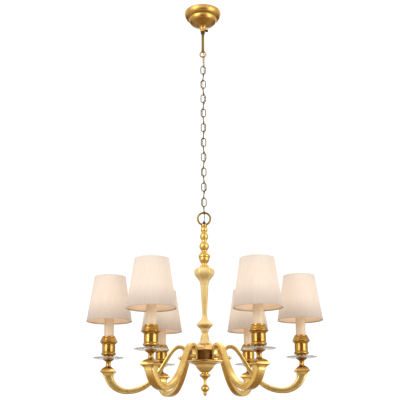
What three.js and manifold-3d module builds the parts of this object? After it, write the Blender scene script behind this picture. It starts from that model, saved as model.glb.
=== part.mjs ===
// Six-arm candle chandelier: brass frame hung on a chain, clear drip pans and clip-on fabric shades.
// Millimetres, +Z up. The origin is on the ceiling plane above the middle of the canopy.
import * as THREE from 'three';
import { mergeVertices } from 'three/addons/utils/BufferGeometryUtils.js';
import Module from 'manifold-3d';

// ---------- driving dimensions ----------

// gap kept between separate pieces that touch on the real object
const SEAT = 0.3;

// ceiling bracket
const BRACKET_LENGTH = 92;
const BRACKET_WIDTH = 22;
const BRACKET_THICKNESS = 3;
const BRACKET_SCREW_RADIUS = 2.6;
const BRACKET_SCREW_SPACING = 66;
const BOSS_RADIUS = 9;
const BOSS_LENGTH = 22;
const STEM_SOCKET_DEPTH = 14;

// canopy
const CANOPY_RADIUS = 58;
const CANOPY_HEIGHT = 66;
const CANOPY_WALL = 1.6;
const CANOPY_STEP_RADIUS = 48;
const CANOPY_STEP_DROP = 21.5;
const NECK_HEIGHT = 13;
const COLLAR_RADIUS = 8;
const COLLAR_HEIGHT = 8.5;
const THUMB_SCREW_SHANK = 1.8;
const THUMB_SCREW_HEAD = 4;
const THUMB_SCREW_REACH = 17;
const THUMB_SCREW_ABOVE_RIM = 4.6;

// stem with its loop
const STEM_RADIUS = 4.5;
const STEM_BORE = 2.6;
const STEM_END_DEPTH = 135;
const LOOP_OUTER_RADIUS = 11.5;
const LOOP_WIRE = 4.4;

// chain
const LINK_COUNT = 20;
const LINK_WIRE = 2.8;
const LINK_WIDTH = 17;
const LINK_PITCH = 24.3;
const LINK_BITE = 0.4;
const CONNECTOR_INNER_LENGTH = 35.3;

// flex woven through the chain
const FLEX_DIAMETER = 3;
const FLEX_MIDDLE_RADIUS = 2.9;
const FLEX_CORNER_RADIUS = 4.5;
const FLEX_STEP = 8;

// hanging ring and its cap
const RING_OUTER_RADIUS = 22;
const RING_WIRE = 6;
const RING_CAP_RADIUS = 9;
const RING_CAP_HEIGHT = 9;
const ROD_BORE = 5.2;

// turned upper baluster, beads from the top down
const BALUSTER_BEADS = [
  { radius: 10.4, drop: 8, halfHeight: 7.5, neck: 7.8 },
  { radius: 12.2, drop: 28.5, halfHeight: 11, neck: 8 },
  { radius: 14.4, drop: 59, halfHeight: 13, neck: 8.6 },
];
const BALUSTER_SKIRT_RADIUS = 17.4;
const BALUSTER_SKIRT_DROP = 90;
const BALUSTER_STEP_RADIUS = 15;
const BALUSTER_FOOT_RADIUS = 8;
const BALUSTER_HEIGHT = 117;

// six-sided column
const COLUMN_RING_RADIUS = 13.6;
const COLUMN_RING_HEIGHT = 5;
const URN_RADIUS = 30.5;
const URN_HEIGHT = 54;
const SHAFT_TOP_RADIUS = 12.5;
const SHAFT_FOOT_RADIUS = 7;
const SHAFT_LENGTH = 96;
const COLLAR_FACET_RADIUS = 24.4;
const COLLAR_FACET_HEIGHT = 48;
const COLUMN_NECK_RADIUS = 8.9;
const BELL_RADIUS = 13.8;
const COLUMN_FOOT_RADIUS = 21.5;
const COLUMN_FOOT_HEIGHT = 33;

// hub
const HUB_ACROSS_FLATS = 100;
const HUB_HEIGHT = 29;
const HUB_ROOF_HEIGHT = 20;
const HUB_PLATE_RADIUS = 62;
const HUB_PLATE_THICKNESS = 4;

// bowl and finial under the hub
const BOWL_RIM_RADIUS = 45;
const BOWL_RADIUS = 31;
const BOWL_HEIGHT = 28;
const FINIAL_NECK_RADIUS = 9.6;
const FINIAL_KNOB_RADIUS = 16;
const FINIAL_STEM_RADIUS = 4;
const FINIAL_BALL_RADIUS = 12;
const FINIAL_TIP_RADIUS = 5.2;
const FINIAL_HEIGHT = 67;

// arms, heights from the top of the hub's base plate
const ARM_COUNT = 6;
const ARM_REACH = 281;
const ARM_CREST = 41.5;
const ARM_CREST_REACH = 18;
const ARM_CREST_PULL = 39;
const ARM_DIP_PULL = 98;
const ARM_ELBOW_PULL = 31;
const ARM_DIP = 85.5;
const ARM_ELBOW = 57;
const ARM_END_DROP = 31;
const ARM_LEG_THICKNESS = 11;
const ARM_DIP_THICKNESS = 16;
const ARM_END_THICKNESS = 26;
const ARM_HUB_WIDTH = 17;
const ARM_END_WIDTH = 28;
const ARM_FLARE_START = 150;
const ARM_NUT_RADIUS = 6;
const ARM_NUT_LENGTH = 17;
const ARM_NUT_HEIGHT = 9;
const KNUCKLE_SIZE = 43;
const KNUCKLE_THICKNESS = 4;
const KNUCKLE_CAP_SIZE = 37;
const KNUCKLE_CAP_HEIGHT = 11.6;
const KNUCKLE_TOP_RADIUS = 8;
const KNUCKLE_COVE_HEIGHT = 10;

// spool, drip pan and candle cup
const SPOOL_HEIGHT = 22;
const SPOOL_RADIUS = 6.6;
const SPOOL_DISH_RADIUS = 16;
const SPOOL_DISH_THICKNESS = 2;
const PAN_RADIUS = 44.5;
const PAN_THICKNESS = 2.2;
const PAN_DISH = 2;
const PAN_HOLE = 5.6;
const CUP_HEIGHT = 64;
const CUP_FOOT_RADIUS = 13.4;
const CUP_BEAD_RADIUS = 21.4;
const CUP_BODY_RADIUS = 19;
const CUP_FLANGE_RADIUS = 26;
const CUP_LIP_RADIUS = 18;
const CUP_SOCKET_DEPTH = 40;

// candle sleeve, lamp holder and bulb
const SLEEVE_RADIUS = 14.2;
const SLEEVE_WALL = 1.1;
const SLEEVE_LENGTH = 118;
const HOLDER_RADIUS = 12.4;
const HOLDER_BORE = 8.4;
const HOLDER_DEPTH = 30;
const BULB_RADIUS = 17.5;
const BULB_LENGTH = 78;
const BULB_CAP_LENGTH = 24;
const BULB_REST_RADIUS = 16.6;
const BULB_REST_HEIGHT = 42;

// shade
const SHADE_BOTTOM_RADIUS = 67;
const SHADE_TOP_RADIUS = 46.5;
const SHADE_HEIGHT = 134;
const SHADE_WALL = 1.2;
const SHADE_ABOVE_PAN = 110;
const CARRIER_WIRE = 2.2;
const CARRIER_SPOKES = 3;
const SPOKE_TURN = (2 * Math.PI) / CARRIER_SPOKES;

// mesh fineness
const WIDE_SIDES = 20;
const ROUND_SIDES = 16;
const SMALL_SIDES = 10;
const HEX_SIDES = 6;
const LINK_SIDES = 8;
const WIRE_SIDES = 6;
const ARM_SWEEP_STEPS = 12;
const ARM_ELBOW_STEPS = 7;
const ARM_CROOK_STEPS = 4;

const wasm = await Module();
wasm.setup();

// ---------- materials ----------

function metal(color, roughness) {
  return new THREE.MeshStandardMaterial({ color, roughness, metalness: 1 });
}

function plain(color, roughness) {
  return new THREE.MeshStandardMaterial({ color, roughness, metalness: 0 });
}

const FINISHES = {
  polished_brass: () => metal(0xd9a648, 0.22),
  satin_brass: () => metal(0xdfb866, 0.34),
  antique_brass: () => metal(0x8f6f3a, 0.42),
  plated_steel: () => metal(0xb9b9b4, 0.4),
  clear_glass: () => plain(0xd8dcdc, 0.06),
  bulb_glass: () => plain(0xfff3df, 0.2),
  ivory_tube: () => plain(0xe6d8c2, 0.5),
  white_plastic: () => plain(0xece8e0, 0.45),
  shade_fabric: () => plain(0xf3ede4, 0.9),
  clear_flex: () => plain(0xb79a5a, 0.35),
};

// ---------- geometry helpers ----------

// a solid of revolution about Z; each profile point is [radius, height]
function turned(profile, sides = ROUND_SIDES, startAngle = 0) {
  const points = profile.map(([radius, height]) => new THREE.Vector2(radius, height));
  const geometry = new THREE.LatheGeometry(points, sides, startAngle);
  return geometry.rotateX(Math.PI / 2);
}

// a turned tube or ring: its profile closes on itself
function turnedRing(profile, sides = ROUND_SIDES, startAngle = 0) {
  return turned([...profile, profile[0]], sides, startAngle);
}

// a plain upright rod, solid or used to cut a round hole
function plug(radius, foot, top) {
  return turned([[0, foot], [radius, foot], [radius, top], [0, top]], SMALL_SIDES);
}

function torus(radius, wire, sides, tubeSides = 8) {
  return new THREE.TorusGeometry(radius, wire / 2, tubeSides, sides);
}

// merges shared corners and drops triangles that have shrunk to a line
function weld(geometry) {
  const bare = geometry.clone();
  bare.deleteAttribute('normal');
  bare.deleteAttribute('uv');
  const merged = mergeVertices(bare, 1e-4);
  const kept = [];
  const index = merged.index.array;
  for (let i = 0; i < index.length; i += 3) {
    const [a, b, c] = [index[i], index[i + 1], index[i + 2]];
    if (a !== b && b !== c && c !== a) kept.push(a, b, c);
  }
  merged.setIndex(kept);
  return merged;
}

function toSolid(geometry) {
  const merged = weld(geometry);
  return new wasm.Manifold(new wasm.Mesh({
    numProp: 3,
    vertProperties: Float32Array.from(merged.attributes.position.array),
    triVerts: Uint32Array.from(merged.index.array),
  }));
}

function toGeometry(solid) {
  const mesh = solid.getMesh();
  const geometry = new THREE.BufferGeometry();
  geometry.setAttribute('position', new THREE.BufferAttribute(mesh.vertProperties, 3));
  geometry.setIndex(new THREE.BufferAttribute(mesh.triVerts, 1));
  return geometry;
}

function joined(first, ...rest) {
  return rest.reduce((whole, geometry) => whole.add(toSolid(geometry)), toSolid(first));
}

// eases a value from start to end as t runs from 0 to 1
function eased(start, end, t) {
  return start + (end - start) * t * t * (3 - 2 * t);
}

// ---------- heights down the centre, from the ceiling ----------

const LOOP_CENTRE = -STEM_END_DEPTH - LOOP_OUTER_RADIUS + LOOP_WIRE / 2;
const LOOP_SEAT = LOOP_CENTRE - LOOP_OUTER_RADIUS + LOOP_WIRE;
const CHAIN_START = LOOP_SEAT + SEAT - CONNECTOR_INNER_LENGTH;
const CHAIN_END = CHAIN_START - LINK_COUNT * LINK_PITCH;
const RING_CENTRE = CHAIN_END + SEAT + RING_WIRE - RING_OUTER_RADIUS;
const RING_CAP_TOP = RING_CENTRE - RING_OUTER_RADIUS + RING_WIRE * 0.8;
const BALUSTER_TOP = RING_CAP_TOP - RING_CAP_HEIGHT - SEAT;
const COLUMN_TOP = BALUSTER_TOP - BALUSTER_HEIGHT - SEAT;
const SHAFT_AND_COLLAR = SHAFT_LENGTH + COLLAR_FACET_HEIGHT;
const COLUMN_HEIGHT = COLUMN_RING_HEIGHT + URN_HEIGHT + SHAFT_AND_COLLAR + COLUMN_FOOT_HEIGHT;
const HUB_TOP = COLUMN_TOP - COLUMN_HEIGHT - SEAT;
const PLATE_TOP = HUB_TOP - HUB_ROOF_HEIGHT - HUB_HEIGHT;
const BOWL_TOP = PLATE_TOP - HUB_PLATE_THICKNESS - SEAT;
const FINIAL_TOP = BOWL_TOP - BOWL_HEIGHT - SEAT;
const ARM_END = PLATE_TOP - ARM_END_DROP;
const PAN_LEVEL = ARM_END + KNUCKLE_THICKNESS + KNUCKLE_CAP_HEIGHT + SEAT + SPOOL_HEIGHT + SEAT;

// ---------- ceiling bracket, canopy, thumb screw and stem ----------

// flat bar with two screw holes and a threaded boss that takes the stem's upper end
function ceilingBracket() {
  const bar = new THREE.BoxGeometry(BRACKET_LENGTH, BRACKET_WIDTH, BRACKET_THICKNESS);
  bar.translate(0, 0, -BRACKET_THICKNESS / 2);
  const bossFoot = -BRACKET_THICKNESS - BOSS_LENGTH;
  const boss = turned([[0, bossFoot], [BOSS_RADIUS, bossFoot], [BOSS_RADIUS, -1], [0, -1]], SMALL_SIDES);
  const socket = plug(STEM_RADIUS + SEAT, bossFoot - 1, bossFoot + STEM_SOCKET_DEPTH);
  let solid = joined(bar, boss).subtract(toSolid(socket));
  for (const side of [-1, 1]) {
    const hole = plug(BRACKET_SCREW_RADIUS, -BRACKET_THICKNESS - 1, 1);
    hole.translate(side * BRACKET_SCREW_SPACING / 2, 0, 0);
    solid = solid.subtract(toSolid(hole));
  }
  return toGeometry(solid);
}

// spun cup: straight rim, stepped shoulder, smaller bowl, trumpet neck and collar, open at both ends
function canopy() {
  const collarBore = STEM_RADIUS + SEAT;
  const neckTop = -CANOPY_HEIGHT + COLLAR_HEIGHT + NECK_HEIGHT;
  const step = -CANOPY_STEP_DROP;
  const bowlRadius = CANOPY_STEP_RADIUS - 2 * CANOPY_WALL;
  const bowlDepth = step - neckTop;
  const outer = [
    [CANOPY_RADIUS, 0],
    [CANOPY_RADIUS, step * 0.24],
    [CANOPY_RADIUS - 3, step * 0.62],
    [CANOPY_STEP_RADIUS, step + CANOPY_WALL],
    [bowlRadius, step],
    [bowlRadius - 2, step - bowlDepth * 0.28],
    [bowlRadius * 0.78, step - bowlDepth * 0.66],
    [bowlRadius * 0.46, neckTop + CANOPY_WALL],
    [COLLAR_RADIUS + 6.5, neckTop],
    [COLLAR_RADIUS + 3, neckTop - NECK_HEIGHT * 0.4],
    [COLLAR_RADIUS + 1, neckTop - NECK_HEIGHT * 0.8],
    [COLLAR_RADIUS, neckTop - NECK_HEIGHT],
    [COLLAR_RADIUS, -CANOPY_HEIGHT],
  ];
  const inner = [
    [collarBore, -CANOPY_HEIGHT],
    [collarBore, neckTop + 2 * CANOPY_WALL],
    ...outer.slice(4, 8).reverse().map(([radius, height]) => [radius - CANOPY_WALL, height + CANOPY_WALL]),
    [CANOPY_RADIUS - 3 - CANOPY_WALL, step * 0.62 + CANOPY_WALL],
    [CANOPY_RADIUS - CANOPY_WALL, 0],
  ];
  const shell = turnedRing([...outer, ...inner].reverse(), WIDE_SIDES);
  const hole = new THREE.CylinderGeometry(
    THUMB_SCREW_SHANK + SEAT, THUMB_SCREW_SHANK + SEAT, COLLAR_RADIUS * 2, SMALL_SIDES);
  hole.rotateZ(Math.PI / 2).translate(COLLAR_RADIUS + 0.5, 0, -CANOPY_HEIGHT + THUMB_SCREW_ABOVE_RIM);
  return toGeometry(toSolid(shell).subtract(toSolid(hole)));
}

// screw through the collar that grips the stem; built along +X
function thumbScrew() {
  const tip = STEM_RADIUS + SEAT;
  const headStart = COLLAR_RADIUS + SEAT;
  const profile = [
    [0, tip],
    [THUMB_SCREW_SHANK, tip],
    [THUMB_SCREW_SHANK, headStart],
    [THUMB_SCREW_HEAD, headStart],
    [THUMB_SCREW_HEAD, THUMB_SCREW_REACH],
    [0, THUMB_SCREW_REACH],
  ];
  return turned(profile, SMALL_SIDES).rotateY(Math.PI / 2);
}

// tube from the bracket's socket down to a closed loop, bored through into the loop for the flex
function stem() {
  const top = -BRACKET_THICKNESS - BOSS_LENGTH + STEM_SOCKET_DEPTH - SEAT;
  const foot = LOOP_CENTRE + LOOP_OUTER_RADIUS - LOOP_WIRE;
  const tube = plug(STEM_RADIUS, foot + 1, top);
  const loop = torus(LOOP_OUTER_RADIUS - LOOP_WIRE / 2, LOOP_WIRE, ROUND_SIDES);
  loop.rotateX(Math.PI / 2).translate(0, 0, LOOP_CENTRE);
  const bore = plug(STEM_BORE, foot - 2, top + 1);
  return toGeometry(joined(tube, loop).subtract(toSolid(bore)));
}

// ---------- chain and flex ----------

// oval link standing in the XZ plane: a ring cut at its waist and drawn apart to the wanted inner length
function link(innerLength, turnedEdgeOn) {
  const apothem = (LINK_WIDTH - LINK_WIRE) / 2;
  const halfTurn = Math.PI / LINK_SIDES;
  const stretch = innerLength / 2 + LINK_WIRE / 2 - apothem;
  const geometry = torus(apothem / Math.cos(halfTurn), LINK_WIRE, LINK_SIDES, WIRE_SIDES);
  geometry.rotateZ(halfTurn).rotateX(Math.PI / 2);
  const position = geometry.attributes.position;
  for (let i = 0; i < position.count; i += 1) {
    position.setZ(i, position.getZ(i) + Math.sign(position.getZ(i)) * stretch);
  }
  if (turnedEdgeOn) geometry.rotateZ(Math.PI / 2);
  return geometry;
}

// the connecting link and the oval links, each turned a quarter from the one above
function chain() {
  const connector = link(CONNECTOR_INNER_LENGTH, true);
  connector.translate(0, 0, CHAIN_START + CONNECTOR_INNER_LENGTH / 2);
  const innerLength = LINK_PITCH - LINK_BITE;
  const links = Array.from({ length: LINK_COUNT }, (_, i) => {
    const geometry = link(innerLength, i % 2 === 1);
    return geometry.translate(0, 0, linkCentre(i));
  });
  return toGeometry(joined(connector, ...links));
}

function linkCentre(i) {
  return CHAIN_START - LINK_BITE - (LINK_PITCH - LINK_BITE) / 2 - i * LINK_PITCH;
}

// two-core lighting flex: down the stem, once round the chain for every four links, into the ring's cap
function flexRoute() {
  const clear = (LINK_WIRE + FLEX_DIAMETER) / 2 + 2 * SEAT;
  const pastLoop = (LOOP_WIRE + FLEX_DIAMETER) / 2 + 2 * SEAT;
  const pastRing = (RING_WIRE + FLEX_DIAMETER) / 2 + 2 * SEAT;
  const stemFoot = LOOP_CENTRE + LOOP_OUTER_RADIUS - LOOP_WIRE;
  const point = (x, y, z) => new THREE.Vector3(x, y, z);
  const route = [
    point(0, 0, -BRACKET_THICKNESS - BOSS_LENGTH + STEM_SOCKET_DEPTH - 2),
    point(0, 0, stemFoot / 2),
    point(0, 0, stemFoot + 12),
    point(0, 0, stemFoot + 2),
    point(clear * 0.5, -pastLoop * 0.35, stemFoot - 4),
    point(clear, -pastLoop, LOOP_CENTRE - 2),
    point(clear + 0.3, -pastLoop - 0.4, LOOP_SEAT - LOOP_WIRE / 2),
    point(clear, -clear, CHAIN_START + CONNECTOR_INNER_LENGTH / 2),
  ];
  for (let i = 0; i < LINK_COUNT; i += 1) {
    for (const share of [-0.5, -0.25, 0, 0.25]) {
      const angle = (i + share) * Math.PI / 2;
      const corner = (1 - Math.cos(4 * angle)) / 2;
      const radius = FLEX_MIDDLE_RADIUS + (FLEX_CORNER_RADIUS - FLEX_MIDDLE_RADIUS) * corner;
      const height = linkCentre(i) - share * LINK_PITCH;
      route.push(point(radius * Math.cos(angle), radius * Math.sin(angle), height));
    }
  }
  const ringTop = RING_CENTRE + RING_OUTER_RADIUS - RING_WIRE / 2;
  route.push(point(clear, -pastRing, ringTop + 1));
  route.push(point(clear * 0.8, -pastRing, ringTop - 5));
  route.push(point(1, -1.5, RING_CENTRE));
  route.push(point(0, 0, RING_CENTRE - RING_OUTER_RADIUS + RING_WIRE + 6));
  route.push(point(0, 0, RING_CAP_TOP - 3));
  route.push(point(0, 0, BALUSTER_TOP - 16));
  return new THREE.CatmullRomCurve3(route, false, 'centripetal');
}

function flex() {
  const section = new THREE.Shape(Array.from({ length: WIRE_SIDES }, (_, i) => {
    const angle = (i / WIRE_SIDES) * 2 * Math.PI;
    return new THREE.Vector2(Math.cos(angle), Math.sin(angle)).multiplyScalar(FLEX_DIAMETER / 2);
  }));
  const extrudePath = flexRoute();
  const steps = Math.round(extrudePath.getLength() / FLEX_STEP);
  return new THREE.ExtrudeGeometry(section, { steps, extrudePath, bevelEnabled: false });
}

// ---------- hanging ring, baluster and column ----------

// ring that faces the front, on a short cap bored through for the flex
function hangingRing() {
  const ring = torus(RING_OUTER_RADIUS - RING_WIRE / 2, RING_WIRE, ROUND_SIDES);
  ring.rotateX(Math.PI / 2).translate(0, 0, RING_CENTRE);
  const capFoot = RING_CAP_TOP - RING_CAP_HEIGHT;
  const cap = turned([
    [0, capFoot],
    [RING_CAP_RADIUS, capFoot],
    [RING_CAP_RADIUS, RING_CAP_TOP - 2],
    [RING_CAP_RADIUS - 2, RING_CAP_TOP],
    [0, RING_CAP_TOP],
  ], SMALL_SIDES);
  const bore = plug(STEM_BORE, capFoot - 1, RING_CAP_TOP + RING_WIRE);
  return toGeometry(joined(ring, cap).subtract(toSolid(bore)));
}

// turned baluster of three beads and a skirted foot; drops are measured from its top
function baluster() {
  const outer = [[RING_CAP_RADIUS - 0.5, 0]];
  for (const { radius, drop, halfHeight, neck } of BALUSTER_BEADS) {
    outer.push([outer.at(-1)[0], drop - halfHeight]);
    outer.push([radius - 1.2, drop - halfHeight * 0.5]);
    outer.push([radius, drop]);
    outer.push([radius - 1.2, drop + halfHeight * 0.5]);
    outer.push([neck, drop + halfHeight]);
  }
  outer.push([outer.at(-1)[0], BALUSTER_SKIRT_DROP - 13]);
  outer.push([BALUSTER_SKIRT_RADIUS - 4, BALUSTER_SKIRT_DROP - 8]);
  outer.push([BALUSTER_SKIRT_RADIUS - 0.8, BALUSTER_SKIRT_DROP - 3]);
  outer.push([BALUSTER_SKIRT_RADIUS, BALUSTER_SKIRT_DROP]);
  outer.push([BALUSTER_SKIRT_RADIUS - 0.8, BALUSTER_SKIRT_DROP + 3]);
  outer.push([BALUSTER_STEP_RADIUS, BALUSTER_SKIRT_DROP + 5.5]);
  outer.push([BALUSTER_STEP_RADIUS - 1.2, BALUSTER_SKIRT_DROP + 14]);
  outer.push([BALUSTER_STEP_RADIUS - 4.4, BALUSTER_SKIRT_DROP + 19]);
  outer.push([BALUSTER_FOOT_RADIUS, BALUSTER_HEIGHT - 4]);
  outer.push([BALUSTER_FOOT_RADIUS, BALUSTER_HEIGHT]);
  const bored = [...outer, [ROD_BORE, BALUSTER_HEIGHT], [ROD_BORE, 0]];
  const profile = bored.map(([radius, drop]) => [radius, BALUSTER_TOP - drop]).reverse();
  return turnedRing(profile, SMALL_SIDES + 2);
}

// six-sided column with a face to the front: ring, urn, tapering shaft, collar and bell foot
function column() {
  const urnTop = COLUMN_RING_HEIGHT;
  const shaftTop = urnTop + URN_HEIGHT;
  const collarTop = shaftTop + SHAFT_LENGTH;
  const footTop = collarTop + COLLAR_FACET_HEIGHT;
  const foot = footTop + COLUMN_FOOT_HEIGHT;
  const collarEdge = collarTop + COLLAR_FACET_HEIGHT / 2;
  const outer = [
    [COLUMN_RING_RADIUS, 0],
    [COLUMN_RING_RADIUS, urnTop],
    [URN_RADIUS * 0.8, urnTop + 4],
    [URN_RADIUS - 1.6, urnTop + 8],
    [URN_RADIUS, urnTop + 14],
    [URN_RADIUS - 0.3, urnTop + 21],
    [URN_RADIUS * 0.93, urnTop + 26.5],
    [URN_RADIUS * 0.74, urnTop + 33.5],
    [URN_RADIUS * 0.58, urnTop + 40],
    [URN_RADIUS * 0.47, urnTop + 47],
    [SHAFT_TOP_RADIUS, shaftTop],
    [SHAFT_FOOT_RADIUS, collarTop],
    [COLLAR_FACET_RADIUS - 3, collarEdge - 5],
    [COLLAR_FACET_RADIUS, collarEdge - 1.5],
    [COLLAR_FACET_RADIUS, collarEdge + 1.5],
    [COLLAR_FACET_RADIUS - 3, collarEdge + 4.5],
    [COLLAR_FACET_RADIUS * 0.64, collarEdge + 8],
    [COLLAR_FACET_RADIUS * 0.52, collarEdge + 15],
    [COLUMN_NECK_RADIUS, footTop],
    [COLUMN_NECK_RADIUS + 0.2, footTop + 2.5],
    [BELL_RADIUS - 2, footTop + 9],
    [BELL_RADIUS - 0.4, footTop + 17],
    [BELL_RADIUS, footTop + 22],
    [COLUMN_FOOT_RADIUS - 4, footTop + 28],
    [COLUMN_FOOT_RADIUS, foot],
  ];
  const bored = [...outer, [ROD_BORE, foot], [ROD_BORE, 0]];
  const profile = bored.map(([radius, drop]) => [radius, COLUMN_TOP - drop]).reverse();
  return turnedRing(profile, HEX_SIDES, Math.PI / 6);
}

// ---------- hub, bowl and finial ----------

// six-sided drum with an edge to the front, under a sloping roof and over a wider base plate
function hub() {
  const corner = HUB_ACROSS_FLATS / 2 / Math.cos(Math.PI / HEX_SIDES);
  const drumTop = HUB_TOP - HUB_ROOF_HEIGHT;
  const plateFoot = PLATE_TOP - HUB_PLATE_THICKNESS;
  return turnedRing([
    [ROD_BORE, plateFoot],
    [HUB_PLATE_RADIUS, plateFoot],
    [HUB_PLATE_RADIUS, PLATE_TOP],
    [corner, PLATE_TOP],
    [corner, drumTop],
    [corner - 4, drumTop + 1],
    [COLUMN_FOOT_RADIUS + 2, HUB_TOP - 2],
    [COLUMN_FOOT_RADIUS + 1, HUB_TOP],
    [ROD_BORE, HUB_TOP],
  ], HEX_SIDES);
}

// six-sided bowl with a flat rim that closes the underside of the hub
function bowl() {
  const foot = FINIAL_NECK_RADIUS + 1;
  const drops = [
    [BOWL_RIM_RADIUS, 0],
    [BOWL_RIM_RADIUS, 2],
    [BOWL_RADIUS + 6, 4],
    [BOWL_RADIUS, 9],
    [BOWL_RADIUS - 2, 13],
    [BOWL_RADIUS - 5.5, BOWL_HEIGHT - 11],
    [BOWL_RADIUS - 10.5, BOWL_HEIGHT - 6],
    [BOWL_RADIUS - 15.4, BOWL_HEIGHT - 2],
    [foot, BOWL_HEIGHT],
    [ROD_BORE, BOWL_HEIGHT],
    [ROD_BORE, 0],
  ];
  return turnedRing(drops.map(([radius, drop]) => [radius, BOWL_TOP - drop]).reverse(), HEX_SIDES);
}

// turned finial whose threaded tube reaches up inside the bowl
function finial() {
  const ball = FINIAL_HEIGHT - 21;
  const drops = [
    [0, -BOWL_HEIGHT / 2],
    [ROD_BORE - SEAT - 0.8, -BOWL_HEIGHT / 2],
    [ROD_BORE - SEAT - 0.8, 0],
    [FINIAL_NECK_RADIUS, 0],
    [FINIAL_NECK_RADIUS, 3.5],
    [FINIAL_KNOB_RADIUS - 2, 5.5],
    [FINIAL_KNOB_RADIUS, 8],
    [FINIAL_KNOB_RADIUS - 2, 12],
    [FINIAL_NECK_RADIUS - 1, 16],
    [FINIAL_STEM_RADIUS + 0.6, 20],
    [FINIAL_STEM_RADIUS, 28],
    [FINIAL_STEM_RADIUS, 34],
    [FINIAL_BALL_RADIUS - 3, ball - 6],
    [FINIAL_BALL_RADIUS, ball],
    [FINIAL_BALL_RADIUS - 2.8, ball + 5.5],
    [FINIAL_TIP_RADIUS, ball + 8.5],
    [FINIAL_TIP_RADIUS + 0.4, FINIAL_HEIGHT - 8],
    [FINIAL_TIP_RADIUS - 1.6, FINIAL_HEIGHT - 2],
    [0, FINIAL_HEIGHT],
  ];
  return turned(drops.map(([radius, drop]) => [radius, FINIAL_TOP - drop]).reverse(), SMALL_SIDES + 2);
}

// ---------- arm ----------

// centre line of the arm in its own upright plane: x is the reach from the axis, y the height over the plate
function armCurves() {
  const point = (x, y) => new THREE.Vector2(x, y);
  const leg = HUB_ACROSS_FLATS / 2 + SEAT + ARM_LEG_THICKNESS / 2;
  const crest = leg + ARM_CREST_REACH;
  const dip = ARM_REACH - ARM_ELBOW;
  const legTop = ARM_CREST - 22;
  const knuckle = KNUCKLE_THICKNESS / 2 - ARM_END_DROP;
  return {
    leg: new THREE.LineCurve(point(leg, SEAT), point(leg, legTop)),
    crook: new THREE.CubicBezierCurve(
      point(leg, legTop),
      point(leg, ARM_CREST - 8),
      point(crest - 10, ARM_CREST),
      point(crest, ARM_CREST)),
    sweep: new THREE.CubicBezierCurve(
      point(crest, ARM_CREST),
      point(crest + ARM_CREST_PULL, ARM_CREST),
      point(dip - ARM_DIP_PULL, -ARM_DIP),
      point(dip, -ARM_DIP)),
    elbow: new THREE.CubicBezierCurve(
      point(dip, -ARM_DIP),
      point(dip + ARM_ELBOW_PULL, -ARM_DIP),
      point(ARM_REACH, knuckle - ARM_ELBOW_PULL),
      point(ARM_REACH, knuckle)),
  };
}

// side view of the arm: the centre line with its thickness laid off on both sides
function armOutline() {
  const { leg, crook, sweep, elbow } = armCurves();
  const stations = [];
  const lay = (curve, steps, thickness) => {
    for (let i = 0; i <= steps; i += 1) {
      const t = i / steps;
      if (i === 0 && curve !== leg) continue;
      const along = curve.getTangent(t);
      const half = thickness(t) / 2;
      const centre = curve.getPoint(t);
      stations.push([
        new THREE.Vector2(centre.x - along.y * half, centre.y + along.x * half),
        new THREE.Vector2(centre.x + along.y * half, centre.y - along.x * half),
      ]);
    }
  };
  const swelling = (t) => Math.max(0, 1.6 * t - 0.6);
  lay(leg, 1, () => ARM_LEG_THICKNESS);
  lay(crook, ARM_CROOK_STEPS, () => ARM_LEG_THICKNESS);
  lay(sweep, ARM_SWEEP_STEPS, (t) => eased(ARM_LEG_THICKNESS, ARM_DIP_THICKNESS, swelling(t)));
  lay(elbow, ARM_ELBOW_STEPS, (t) => ARM_DIP_THICKNESS + (ARM_END_THICKNESS - ARM_DIP_THICKNESS) * t);
  return [...stations.map(([left]) => left), ...stations.map(([, right]) => right).reverse()];
}

// cast swan-neck arm of square section, flaring outwards, with its knuckle plate, domed cap and hub nut
function arm() {
  const side = new THREE.ExtrudeGeometry(
    new THREE.Shape(armOutline()), { depth: ARM_END_WIDTH + 2, bevelEnabled: false, steps: 1 });
  side.translate(0, 0, -ARM_END_WIDTH / 2 - 1).rotateX(Math.PI / 2);
  const inner = HUB_ACROSS_FLATS / 2;
  const outer = ARM_REACH + ARM_END_THICKNESS;
  const plan = new THREE.Shape([
    new THREE.Vector2(inner - 1, -ARM_HUB_WIDTH / 2),
    new THREE.Vector2(ARM_FLARE_START, -ARM_HUB_WIDTH / 2),
    new THREE.Vector2(ARM_REACH, -ARM_END_WIDTH / 2),
    new THREE.Vector2(outer, -ARM_END_WIDTH / 2),
    new THREE.Vector2(outer, ARM_END_WIDTH / 2),
    new THREE.Vector2(ARM_REACH, ARM_END_WIDTH / 2),
    new THREE.Vector2(ARM_FLARE_START, ARM_HUB_WIDTH / 2),
    new THREE.Vector2(inner - 1, ARM_HUB_WIDTH / 2),
  ]);
  const depth = 2 * (ARM_CREST + ARM_DIP + ARM_END_THICKNESS);
  const taper = new THREE.ExtrudeGeometry(plan, { depth, bevelEnabled: false, steps: 1 });
  taper.translate(0, 0, -depth / 2);
  const nutSeat = inner + SEAT + ARM_LEG_THICKNESS;
  const nut = turned([
    [0, nutSeat - 2],
    [ARM_NUT_RADIUS, nutSeat - 2],
    [ARM_NUT_RADIUS, nutSeat + ARM_NUT_LENGTH * 0.45],
    [ARM_NUT_RADIUS * 0.8, nutSeat + ARM_NUT_LENGTH * 0.8],
    [0, nutSeat + ARM_NUT_LENGTH],
  ], 8).rotateY(Math.PI / 2).translate(0, 0, ARM_NUT_HEIGHT);
  const solid = toSolid(side).intersect(toSolid(taper)).add(toSolid(nut)).add(knuckle());
  return toGeometry(solid);
}

// a four-sided turning above the arm's end, with its faces square to the arm; radii run to the corners
function squareTurned(profile) {
  return turned(profile, 4, Math.PI / 4).translate(ARM_REACH, 0, 0);
}

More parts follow.
